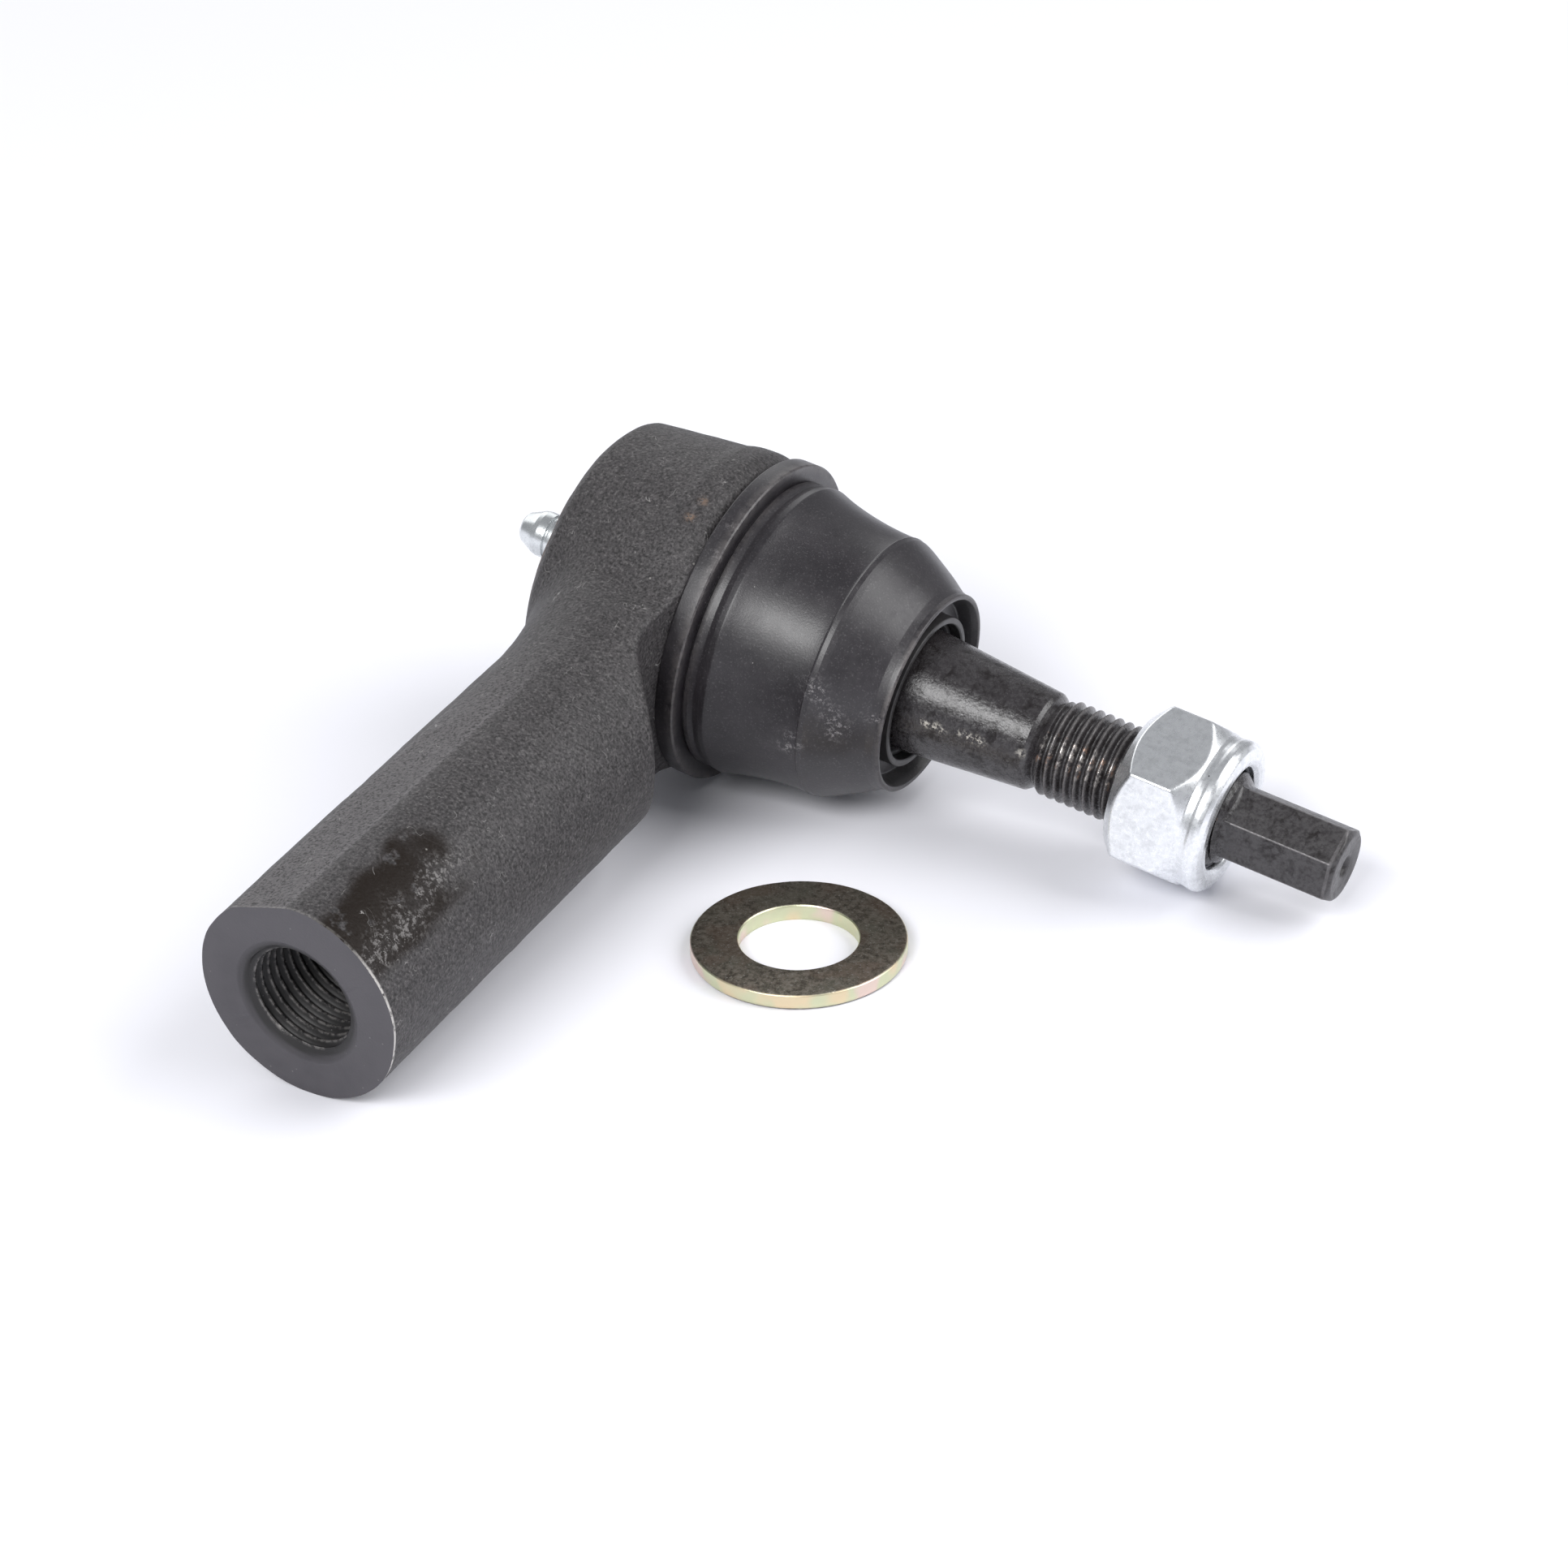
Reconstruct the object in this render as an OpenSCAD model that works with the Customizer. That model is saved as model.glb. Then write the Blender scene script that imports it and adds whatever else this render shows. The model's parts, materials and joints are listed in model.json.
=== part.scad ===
// Outer tie rod end with a spring-loaded ball joint, a dust boot, a lock nut and a loose washer.
// Millimetres. It lies at rest on the plane z = 0, on the clamp ring, the arm's end and the nut.
// Local frame of the joint, before it is laid down: ball centre at the origin, stud along +X,
// arm along -Y.

/* [Housing] */
// Radius of the drum at its rear edge
drum_rear_r = 21.1; // [20.5:0.1:21.6]
// Radius of the drum just behind its front shoulder
drum_front_r = 22.4; // [22:0.1:22.9]
// Distance from the ball centre to the drum's rear face
drum_rear = 19.8; // [19.6:0.1:20.5]
// Radius of the arm
arm_r = 14.6; // [13.5:0.1:15]
// Distance from the ball centre to the arm's end face
arm_length = 101.9; // [80:0.1:120]
// How far the arm's axis lies behind the ball centre
arm_offset = 2.2; // [1:0.1:3]

/* [Arm thread] */
// Minor radius of the M16 x 1.5 thread in the arm
arm_thread_r = 7.25; // [7.19:0.01:7.34]
// Length of the thread's wall
arm_thread_length = 42; // [25:1:50]
// Radius of the chamfer at the thread's mouth
arm_chamfer_r = 9.1; // [8.5:0.1:9.5]

/* [Ball joint] */
// Radius of the ball
ball_r = 13.5; // [13.4:0.05:13.5]
// Radial clearance of the ball in its race and seat
ball_clearance = 0.05; // [0.02:0.01:0.1]
// Radius of the bore that holds the race and the seat
socket_r = 16.2; // [16:0.1:16.5]

/* [Stud] */
// Radius of the neck beside the ball
neck_r = 7; // [6:0.1:7.2]
// Radius of the taper at its large end
taper_large_r = 9.33; // [9:0.01:9.6]
// Radius of the taper at its small end
taper_small_r = 7.1; // [7:0.01:7.2]
// Major radius of the M14 x 1.5 thread on the stud
stud_thread_r = 7; // [6.9:0.01:7]
// Size of the hexagonal tip across its flats
tip_flats = 10; // [8:0.1:10.2]
// Distance from the ball centre to the end of the tip
tip_end = 97; // [92:0.1:105]

/* [Nut] */
// Size of the nut across its flats
nut_flats = 22; // [21.5:0.1:22.2]
// Overall height of the nut with its collar
nut_height = 14.8; // [14.4:0.1:15.6]
// Distance from the ball centre to the nut's face
nut_face = 65.4; // [60:0.1:66]

/* [Boot] */
// Outer radius of the clamp ring at the boot's large end
clamp_r = 23.65; // [23.2:0.05:23.8]
// Wall thickness of the boot
boot_wall = 1.8; // [1.4:0.1:2]
// Radius of the boot's open mouth
mouth_r = 14.6; // [14.3:0.05:14.8]

/* [Washer] */
// Outer diameter of the loose washer
washer_od = 29.2; // [27:0.1:31]
// Hole diameter of the loose washer
washer_id = 16.2; // [15:0.1:17]
// Thickness of the loose washer
washer_t = 2.4; // [2:0.1:3]
// Where the washer's centre lies on the table, along X
washer_x = 3.05; // [2:0.05:8]
// Where the washer's centre lies on the table, along Y
washer_y = -1.4; // [-6:0.1:0]

/* [Hidden] */
$fn = 96;

// resting place on the table, where the clamp ring, a corner of the nut and the arm's end touch it
stud_pitch = 9.25;      // how far the stud points down from level, in degrees
arm_roll = 5.75;        // how far the arm points down from level, in degrees
ball_x = -31.6095;
ball_y = 39.606;
ball_z = 24.248;

// housing stations along X
flange_x = 2.6;         // front face of the drum, where the clamp ring sits
collar_x = 10.5;        // front end of the collar that carries the boot
collar_r = 19.2;
race_front = 8;
seat_step = -14.3;      // rear face of the seat
cover_step = -17;       // step that the cover's edge rests on
cover_r = 18.2;
rim_r = 16.9;           // opening left by the rolled edge

// fillets between the arm and the drum
side_fillet = 55;
side_reach = 38;        // where the arm starts to widen
top_fillet = 30;
top_reach = sqrt(pow(drum_front_r - 0.5 + top_fillet, 2) - pow(arm_r + top_fillet, 2));
slope_start = -30.4;    // where the arm's front starts to slope away from the clamp ring
slope_rise = 12;

// grease fitting stations along X
boss_x = -24.6;
fitting_tip = -33.4;
fitting_r = 3.35;
fitting_bore = 1.1;
check_ball_r = 1;
check_ball_x = -31.8;
coil_start = -30.5;
coil_pitch = 1.28;
coil_turns = 5;
coil_steps = 12;
coil_sides = 8;
coil_r = 0.8;
coil_wire_r = 0.2;

// boot stations along X
shoulder_x = 22.9;
shoulder_r = 19.3;
cone_end = 31.3;
mouth_x = 33.2;

nut_corner = nut_flats / 2 / cos(30);
nut_turn = 77.5;        // angle of one of the nut's corners
tip_turn = 85;          // angle of one of the tip's corners
thread_end = 79.3;

// Turns a shape drawn along Z so that it lies along the stud
module along_stud() rotate([0, 90, 0]) children();

// Lays the joint down on the table
module laid_down()
    translate([ball_x, ball_y, ball_z])
        rotate([0, stud_pitch, 0])
            rotate([arm_roll, 0, 0])
                children();

// Ring or disc turned from a list of [station, radius] points
module turned(points)
    along_stud() rotate_extrude() polygon([for (p = points) [p[1], p[0]]]);

// Round hole or shaft between two stations
module shaft(from, to, r)
    translate([from, 0, 0]) along_stud() cylinder(h = to - from, r = r);

// Hexagonal bar between two stations, with one corner at the given angle
module hex_bar(from, to, flats, turn)
    translate([from, 0, 0]) rotate([turn, 0, 0]) rotate([0, 90, 0])
        rotate([0, 0, 90]) cylinder(h = to - from, r = flats / 2 / cos(30), $fn = 6);

// Turns a shape drawn along Z so that it lies along the arm
module along_arm() translate([-arm_offset, 0, 0]) rotate([90, 0, 0]) children();

module drum()
    turned([[-drum_rear - 0.9, 0], [-drum_rear - 0.9, 18.6], [-drum_rear - 0.5, 19.9],
            [-drum_rear + 0.6, drum_rear_r - 0.1], [-drum_rear + 1.4, drum_rear_r],
            [-7.2, drum_front_r], [-5.2, drum_front_r + 0.2], [-3.8, drum_front_r + 0.55],
            [-2, 23.15], [-0.5, 23.1], [1, 22.6], [2.2, 21.6], [flange_x, 20.8], [flange_x, 0]]);

// Outline of the arm seen along X, with its fillets into the drum
module arm_outline() {
    tangent = (drum_front_r - 0.5) / (drum_front_r - 0.5 + top_fillet);
    foot = [top_reach * tangent, (arm_r + top_fillet) * tangent];
    for (side = [-1, 1])
        scale([1, side])
            difference() {
                polygon([[0, 0], foot, [top_reach, foot[1]], [top_reach, arm_r],
                         [side_reach, arm_r], [side_reach, 0]]);
                translate([top_reach, arm_r + top_fillet]) circle(r = top_fillet, $fn = 180);
            }
}

// Arm that widens towards the drum, as a turned shape
module arm_flare()
    along_arm() rotate_extrude()
        difference() {
            translate([0, 8]) square([23, side_reach - 8]);
            translate([arm_r + side_fillet, side_reach]) circle(r = side_fillet, $fn = 240);
        }

module arm_root()
    intersection() {
        arm_flare();
        translate([-drum_rear, 0, 0]) rotate([90, 0, 90]) rotate([0, 0, 180])
            linear_extrude(height = 40) arm_outline();
    }

// Clearance in front of the arm, with a sloped and rounded start
module front_clearance() {
    run = slope_rise * 0.9;
    linear_extrude(height = 80, center = true)
        polygon([[flange_x, 40], [flange_x, slope_start + 2.6], [flange_x + 0.35, slope_start + 1],
                 [flange_x + 1.1, slope_start - 0.4], [flange_x + 2.2, slope_start - 1.7],
                 [flange_x + 2.2 + slope_rise, slope_start - 1.7 - run], [45, -46], [45, 40]]);
}

module housing_solid() {
    drum();
    difference() {
        union() {
            arm_root();
            along_arm() translate([0, 0, side_reach - 0.01])
                cylinder(h = arm_length - side_reach + 0.01, r = arm_r);
        }
        front_clearance();
    }
    turned([[flange_x - 1, 0], [flange_x - 1, collar_r], [collar_x - 0.6, collar_r],
            [collar_x, collar_r - 0.6], [collar_x, 0]]);
}

module housing()
    color([0.28, 0.27, 0.26])
        laid_down()
            difference() {
                housing_solid();
                turned([[race_front, 0], [race_front, 12.5], [collar_x + 0.1, 14], [collar_x + 0.1, 0]]);
                shaft(cover_step, race_front + 0.01, socket_r);
                shaft(-drum_rear, cover_step, cover_r);
                shaft(-drum_rear - 1, -drum_rear + 0.01, rim_r);
                along_arm() translate([0, 0, arm_length - arm_thread_length - 1.1])
                    cylinder(h = arm_thread_length + 2, r = arm_thread_r);
                along_arm() translate([0, 0, arm_length - 1.1])
                    cylinder(h = 1.2, r1 = arm_thread_r, r2 = arm_chamfer_r + 0.15);
            }

module front_race()
    color([0.85, 0.84, 0.8])
        laid_down()
            along_stud() rotate_extrude()
                difference() {
                    polygon([[11, -0.6], [socket_r - 0.02, -0.6], [socket_r - 0.02, race_front - 0.02],
                             [12.3, race_front - 0.02], [11, 6.8]]);
                    circle(r = ball_r + ball_clearance, $fn = 180);
                }

module rear_seat()
    color([0.55, 0.55, 0.57])
        laid_down()
            difference() {
                shaft(seat_step, -1.4, socket_r - 0.05);
                sphere(r = ball_r + ball_clearance);
                shaft(seat_step - 1, -5, 3);
            }

module preload_spring()
    color([0.35, 0.36, 0.4])
        laid_down()
            turned([[seat_step - 0.01, 8], [seat_step - 0.01, 9], [-15.2, 15], [-16.1, 15],
                    [-15.2, 8]]);

module spring_shim()
    color([0.6, 0.6, 0.62])
        laid_down()
            turned([[-16.12, 9], [-16.12, 16], [-17, 16], [-17, 9]]);

module rear_cover()
    color([0.3, 0.29, 0.28])
        laid_down()
            difference() {
                turned([[-17.02, 0], [-17.02, cover_r - 0.05], [-18.8, cover_r - 0.05],
                        [-18.8, 14.5], [-22, 10], [-22.2, 6.5], [boss_x, 6], [boss_x, 0]]);
                turned([[-17.01, 0], [-17.01, 12.5], [-19.6, 8.6], [-19.6, 0]]);
                shaft(-30, -10, 3);
            }

module cover_seal()
    color([0.08, 0.08, 0.08])
        laid_down()
            turned([[-18.82, rim_r + 0.1], [-18.82, cover_r - 0.1], [-drum_rear + 0.02, cover_r - 0.1],
                    [-drum_rear + 0.02, rim_r + 0.1]]);

module grease_fitting()
    color([0.8, 0.81, 0.82])
        laid_down()
            difference() {
                union() {
                    turned([[-19.7, 0], [-19.7, 2.95], [boss_x - 1, 2.95], [boss_x - 1, 0]]);
                    intersection() {
                        hex_bar(-27.4, boss_x - 0.01, 8, 30);
                        turned([[-27.8, 0], [-27.8, 3.5], [-26.9, 4.7], [boss_x, 4.7], [boss_x, 0]]);
                    }
                    turned([[fitting_tip, 0], [fitting_tip, 1.9], [fitting_tip + 0.3, 2.2],
                            [-30.9, fitting_r - 0.15], [-30.3, fitting_r], [-28.85, fitting_r],
                            [-28.85, fitting_r - 0.35], [-28.45, fitting_r - 0.35],
                            [-28.45, fitting_r], [-27, fitting_r], [-27, 0]]);
                }
                shaft(-40, -10, 0.75);
                shaft(-32.5, -19, fitting_bore);
            }

module fitting_ball()
    color([0.75, 0.75, 0.76])
        laid_down() translate([check_ball_x, 0, 0]) sphere(r = check_ball_r);

// Corner of the coil spring's wire: ring number, then corner number around the wire
function coil_corner(ring, corner) =
    let (turn = ring * 360 / coil_steps, around = corner * 360 / coil_sides,
         reach = coil_r + coil_wire_r * cos(around))
    [coil_start + ring / coil_steps * coil_pitch + coil_wire_r * sin(around),
     reach * cos(turn), reach * sin(turn)];

module fitting_spring() {
    rings = coil_turns * coil_steps;
    corners = [for (r = [0 : rings], c = [0 : coil_sides - 1]) coil_corner(r, c)];
    sides = [for (r = [0 : rings - 1], c = [0 : coil_sides - 1])
                 let (next = (c + 1) % coil_sides)
                 [r * coil_sides + c, r * coil_sides + next,
                  (r + 1) * coil_sides + next, (r + 1) * coil_sides + c]];
    first = [for (c = [coil_sides - 1 : -1 : 0]) c];
    last = [for (c = [0 : coil_sides - 1]) rings * coil_sides + c];
    color([0.6, 0.6, 0.63])
        laid_down() polyhedron(corners, concat(sides, [first, last]));
}

module fitting_retainer()
    color([0.7, 0.62, 0.4])
        laid_down()
            difference() {
                shaft(-23.8, -21.8, fitting_bore - 0.02);
                shaft(-24, -21, 0.45);
            }

module boot_clamp_ring()
    color([0.13, 0.12, 0.13])
        laid_down()
            turned([[flange_x + 0.02, 21.05], [flange_x + 0.02, clamp_r - 0.25],
                    [flange_x + 0.27, clamp_r], [5.45, clamp_r], [5.65, clamp_r - 0.2],
                    [5.65, 21.05]]);

// Outer line of the boot from its root to its mouth, as [station, radius], and the inner line back
boot_outside = [[9.3, 21.5], [10.6, 20.95], [13, 20.35], [16, 19.8], [19, 19.45],
                [shoulder_x, shoulder_r], [24.2, 18.95], [29, 16.4], [cone_end, 14.95],
                [mouth_x, mouth_r]];
boot_inside = [for (i = [7 : -1 : 2]) [boot_outside[i][0], boot_outside[i][1] - boot_wall]];

module dust_boot()
    color([0.1, 0.095, 0.1])
        laid_down()
            turned(concat([[flange_x + 0.04, 19.25], [flange_x + 0.04, 21], [5.75, 21], [6, 21.25],
                           [6.6, 21.25], [7.4, 21.1], [8.4, 21.35]],
                          boot_outside,
                          [[mouth_x, mouth_r - 0.9], [30.4, 12.9], [30.4, 11.15], [28.6, 11.15],
                           [28.6, 12.9]],
                          boot_inside,
                          [[11.2, 19], [10.8, 19.25]]));

module boot_mouth_ring()
    color([0.14, 0.14, 0.15])
        laid_down()
            turned([[28.7, 10.1], [28.7, 11.1], [32.65, 11.1], [32.65, 10.15]]);

module boot_seal_lip()
    color([0.09, 0.09, 0.09])
        laid_down()
            turned([[29, 9.25], [29, 10.05], [31, 10.05], [31, 9.5], [30.4, 8.98], [30, 9.02]]);

// Radius of the taper at a station
function taper_at(x) = taper_small_r + (51.4 - x) * (taper_large_r - taper_small_r) / 25.4;

module ball_stud()
    color([0.17, 0.16, 0.16])
        laid_down() {
            difference() {
                union() {
                    sphere(r = ball_r);
                    turned([[5, 0], [5, neck_r], [15, neck_r], [20.5, taper_at(26)],
                            [26, taper_at(26)], [51.4, taper_small_r], [52, 6.5], [52.6, 6.5],
                            [53.2, stud_thread_r], [53.2, 0]]);
                    shaft(53.2, thread_end, stud_thread_r);
                    turned([[thread_end, 0], [thread_end, stud_thread_r], [80.2, 6.15],
                            [80.4, 5.95], [80.9, 5.6], [81.4, 5.5], [81.4, 0]]);
                    intersection() {
                        hex_bar(81, tip_end, tip_flats, tip_turn);
                        turned([[80, 0], [80, 5.4], [81.5, 5.9], [tip_end - 0.9, 5.9],
                                [tip_end, 4.7], [tip_end, 0]]);
                    }
                }
                shaft(-ball_r - 1, -ball_r + 1, 6);
                turned([[tip_end - 1.9, 0], [tip_end - 0.5, 0.75], [tip_end + 0.1, 1.35],
                        [tip_end + 0.1, 0]]);
            }
        }

module nut()
    color([0.82, 0.84, 0.86])
        laid_down() translate([nut_face, 0, 0])
            difference() {
                union() {
                    intersection() {
                        hex_bar(0, 11, nut_flats, nut_turn);
                        turned([[0, 0], [0, nut_flats / 2 - 1.3], [2.6, nut_corner - 0.15],
                                [8.7, nut_corner - 0.15], [10.85, nut_flats / 2 - 0.05],
                                [11, nut_flats / 2 - 0.1], [11, 0]]);
                    }
                    turned([[10, 0], [10, 10.7], [12, 10.75], [12.6, 10.9], [13.2, 10.95],
                            [nut_height - 0.9, 10.75], [nut_height - 0.4, 10.3],
                            [nut_height - 0.1, 9.6], [nut_height, 8.8],
                            [nut_height - 0.15, 8], [nut_height - 0.5, 7.5],
                            [nut_height - 0.5, 0]]);
                }
                shaft(-1, nut_height + 1, stud_thread_r + 0.05);
                shaft(10.6, nut_height - 1.2, 9);
                shaft(nut_height - 1.3, nut_height, 7.45);
            }

module nylon_insert()
    color([0.06, 0.08, 0.2])
        laid_down() translate([nut_face, 0, 0])
            difference() {
                shaft(10.65, nut_height - 1.25, 8.95);
                shaft(10, nut_height, stud_thread_r + 0.03);
            }

module washer()
    color([0.62, 0.6, 0.45])
        translate([washer_x, washer_y, 0])
            difference() {
                cylinder(h = washer_t, d = washer_od);
                translate([0, 0, -1]) cylinder(h = washer_t + 2, d = washer_id);
            }

housing();
front_race();
rear_seat();
preload_spring();
spring_shim();
rear_cover();
cover_seal();
grease_fitting();
fitting_ball();
fitting_spring();
fitting_retainer();
boot_clamp_ring();
dust_boot();
boot_mouth_ring();
boot_seal_lip();
ball_stud();
nut();
nylon_insert();
washer();
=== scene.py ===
import json
import math

import bmesh
import bpy
import numpy as np
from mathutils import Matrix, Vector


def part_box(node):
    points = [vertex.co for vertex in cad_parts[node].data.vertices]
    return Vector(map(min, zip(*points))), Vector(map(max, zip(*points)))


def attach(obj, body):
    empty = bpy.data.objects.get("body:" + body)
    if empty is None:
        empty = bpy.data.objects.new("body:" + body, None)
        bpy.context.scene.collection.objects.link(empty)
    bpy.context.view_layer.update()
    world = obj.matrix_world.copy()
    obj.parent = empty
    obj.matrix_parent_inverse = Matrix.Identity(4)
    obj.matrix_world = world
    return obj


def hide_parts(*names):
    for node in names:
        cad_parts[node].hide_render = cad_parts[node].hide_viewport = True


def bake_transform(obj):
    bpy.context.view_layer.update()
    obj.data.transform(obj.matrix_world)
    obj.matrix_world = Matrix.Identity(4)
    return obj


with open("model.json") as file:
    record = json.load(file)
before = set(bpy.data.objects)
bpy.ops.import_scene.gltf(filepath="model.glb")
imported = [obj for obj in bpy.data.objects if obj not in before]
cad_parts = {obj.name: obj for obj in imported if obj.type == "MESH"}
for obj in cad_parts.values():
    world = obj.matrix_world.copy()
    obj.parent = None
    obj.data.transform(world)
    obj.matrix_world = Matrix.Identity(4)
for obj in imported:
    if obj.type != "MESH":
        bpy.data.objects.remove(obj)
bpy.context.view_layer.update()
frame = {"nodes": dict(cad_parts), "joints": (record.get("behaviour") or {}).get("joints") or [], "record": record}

import openvdb
from mathutils import Matrix, Vector

MM = 0.001
TURN = 2 * math.pi
PITCH = 1.5


# ---- the joint's own frame
# Shapes are drawn in millimetres with the ball centre at the origin, the stud along +X and the arm
# along -Y, and are then laid down where the frame says.

joints = {j["name"]: j for j in frame["joints"]}
ball_centre = Vector(joints["stud_spin"]["pos_m"])
stud_axis = Vector(joints["stud_spin"]["axis"]).normalized()
side_axis = Vector(joints["stud_swing"]["axis"]).cross(stud_axis).normalized()
up_axis = stud_axis.cross(side_axis)
LAY = (Matrix.Translation(ball_centre)
       @ Matrix((stud_axis, side_axis, up_axis)).transposed().to_4x4()
       @ Matrix.Scale(MM, 4))
LIFT = LAY.inverted()


def points_of(mesh):
    """A mesh's points as rows of x, y, z."""
    flat = np.empty(len(mesh.vertices) * 3)
    mesh.vertices.foreach_get("co", flat)
    return flat.reshape(-1, 3)


def moved(points, matrix):
    """Rows of x, y, z after a 4 x 4 matrix."""
    m = np.array(matrix)
    return points @ m[:3, :3].T + m[:3, 3]


def cad_points(node):
    """The corners of a CAD node in the joint's own frame."""
    return moved(points_of(frame["nodes"][node].data), LIFT)


def stations(node):
    """Where a CAD node starts and ends along the stud, and its largest radius."""
    p = cad_points(node)
    return p[:, 0].min(), p[:, 0].max(), np.hypot(p[:, 1], p[:, 2]).max()


# ---- shape tools

def noise(points, wavelength, seed):
    """Smooth random values from -1 to 1 at rows of x, y, z."""
    size = 32
    table = np.random.default_rng(seed).uniform(-1, 1, (size, size, size))
    q = np.asarray(points) / wavelength
    cell = np.floor(q).astype(int)
    t = q - cell
    t = t * t * (3 - 2 * t)
    low, high = cell % size, (cell + 1) % size
    total = 0
    for corner in range(8):
        take = [(corner >> axis) & 1 for axis in range(3)]
        index = [high[..., a] if take[a] else low[..., a] for a in range(3)]
        weight = 1
        for a in range(3):
            weight = weight * (t[..., a] if take[a] else 1 - t[..., a])
        total = total + table[tuple(index)] * weight
    return total


def smooth_step(x, start, end):
    """Rises smoothly from 0 at start to 1 at end."""
    t = np.clip((np.asarray(x, float) - start) / (end - start), 0, 1)
    return t * t * (3 - 2 * t)


def soft_min(a, b, k):
    """The smaller of two values, blended where they differ by less than k."""
    h = np.maximum(k - np.abs(a - b), 0) / k
    return np.minimum(a, b) - h * h * k / 4


def soft_max(a, b, k):
    return -soft_min(-a, -b, k)


def rounded(points, steps=4, closed=False):
    """An outline whose corners are rounded. Each point is (station, radius) or (station, radius, fillet)."""
    out = []
    n = len(points)
    for i, p in enumerate(points):
        here = np.array(p[:2], float)
        fillet = p[2] if len(p) > 2 else 0
        if not fillet or (not closed and i in (0, n - 1)):
            out.append(here)
            continue
        before = np.array(points[i - 1][:2], float) - here
        after = np.array(points[(i + 1) % n][:2], float) - here
        a, b = np.linalg.norm(before), np.linalg.norm(after)
        before, after = before / a, after / b
        half = math.acos(np.clip(before @ after, -1, 1)) / 2
        cut = min(fillet / max(math.tan(half), 1e-3), 0.48 * a, 0.48 * b)
        for s in np.linspace(0, 1, steps + 1):
            out.append(here + before * cut * (1 - s) ** 2 + after * cut * s ** 2)
    return np.array(out)


def spaced(outline, gap, closed=False):
    """The outline with more points, so that no step is longer than the gap."""
    last = outline[:1] if closed else outline[:0]
    full = np.vstack([outline, last])
    out = [full[0]]
    for a, b in zip(full[:-1], full[1:]):
        n = max(1, math.ceil(np.linalg.norm(b - a) / gap))
        out += [a + (b - a) * k / n for k in range(1, n + 1)]
    return np.array(out[:-1] if closed else out)


def even_turn(count):
    """Evenly spaced angles round a full turn."""
    return np.arange(count) * TURN / count


def hexagon_turn(corner, fillet_angle=2.6):
    """Angles round a hexagonal bar that lie close together at its corners."""
    near = np.radians([-1, -0.6, -0.3, 0, 0.3, 0.6, 1]) * fillet_angle
    flat = np.radians(np.linspace(fillet_angle, 60 - fillet_angle, 27)[1:-1])
    side = np.concatenate([near, flat])
    return np.concatenate([side + corner + k * TURN / 6 for k in range(6)])


def hexagon_radius(angles, flats, corner, fillet):
    """Radius of a hexagonal bar with rounded corners, at each angle."""
    half = flats / 2
    a = np.abs((angles - corner + TURN / 12) % (TURN / 6) - TURN / 12)
    centre = (half - fillet) / math.cos(TURN / 12)
    edge = math.atan(fillet * 0.5 / (centre + fillet * math.cos(TURN / 12)))
    arc = centre * np.cos(a) + np.sqrt(np.maximum(fillet ** 2 - (centre * np.sin(a)) ** 2, 0))
    return np.where(a < edge, arc, half / np.cos(TURN / 12 - a))


def rows(outline, angles):
    """Rows of stations and radii for a turned shape."""
    ones = np.ones(len(angles))
    return [(p[0] * ones, p[1] * ones) for p in outline]


def skin(ring_rows, angles, closed=False, shift=0):
    """Points and faces of a surface that goes round the stud's axis, row by row."""
    station = np.array([r[0] for r in ring_rows])
    radius = np.array([r[1] for r in ring_rows])
    points = np.stack([station, radius * np.cos(angles), radius * np.sin(angles)], -1)
    count, around = station.shape
    i, j = np.meshgrid(np.arange(count if closed else count - 1), np.arange(around), indexing="ij")
    wraps = (j == around - 1) * shift
    a, b = i * around + j, (i + wraps) * around + (j + 1) % around
    c, d = (i + 1 + wraps) * around + (j + 1) % around, (i + 1) * around + j
    faces = np.stack([a, b, c, d], -1).reshape(-1, 4)
    if closed:
        faces %= count * around
    else:
        faces = faces[faces.max(1) < count * around]
    return points.reshape(-1, 3), faces


def thread_radius(phase, major, depth, crest):
    """Radius of a 60 degree thread at a phase from 0 to 1, where the crest is at 0."""
    away = np.minimum(phase, 1 - phase) * PITCH
    flank = major - (away - crest * PITCH / 2) * math.sqrt(3)
    return soft_max(soft_min(flank, major, 0.12), major - depth, 0.16)


def thread(start, end, major, depth, trim, angles, crest=0.125, samples=14):
    """A right-handed thread between two stations. trim(station, radius) gives the radius that is left."""
    turns = math.ceil((end - start) / PITCH) + 2
    lead = PITCH * ((angles - angles[0]) / TURN)
    out = []
    for i in range(turns * samples + 1):
        x = np.clip(start - PITCH + i * PITCH / samples + lead, start, end)
        phase = ((x - PITCH * angles / TURN) / PITCH) % 1
        radius = thread_radius(phase, major, depth, crest)
        out.append((x, trim(x, radius)))
    return skin(out, angles, shift=samples)


def along_arm(points):
    """Turns points drawn round the stud's axis so that they lie round the arm's axis."""
    x, y, z = points.T
    return np.stack([y - arm_offset, -x, z], -1)


def joined(*parts):
    """Several sets of points and faces as one."""
    points, faces, offset = [], [], 0
    for p, f in parts:
        points.append(p)
        faces.append(f + offset)
        offset += len(p)
    return np.vstack(points), np.vstack(faces)


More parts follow.
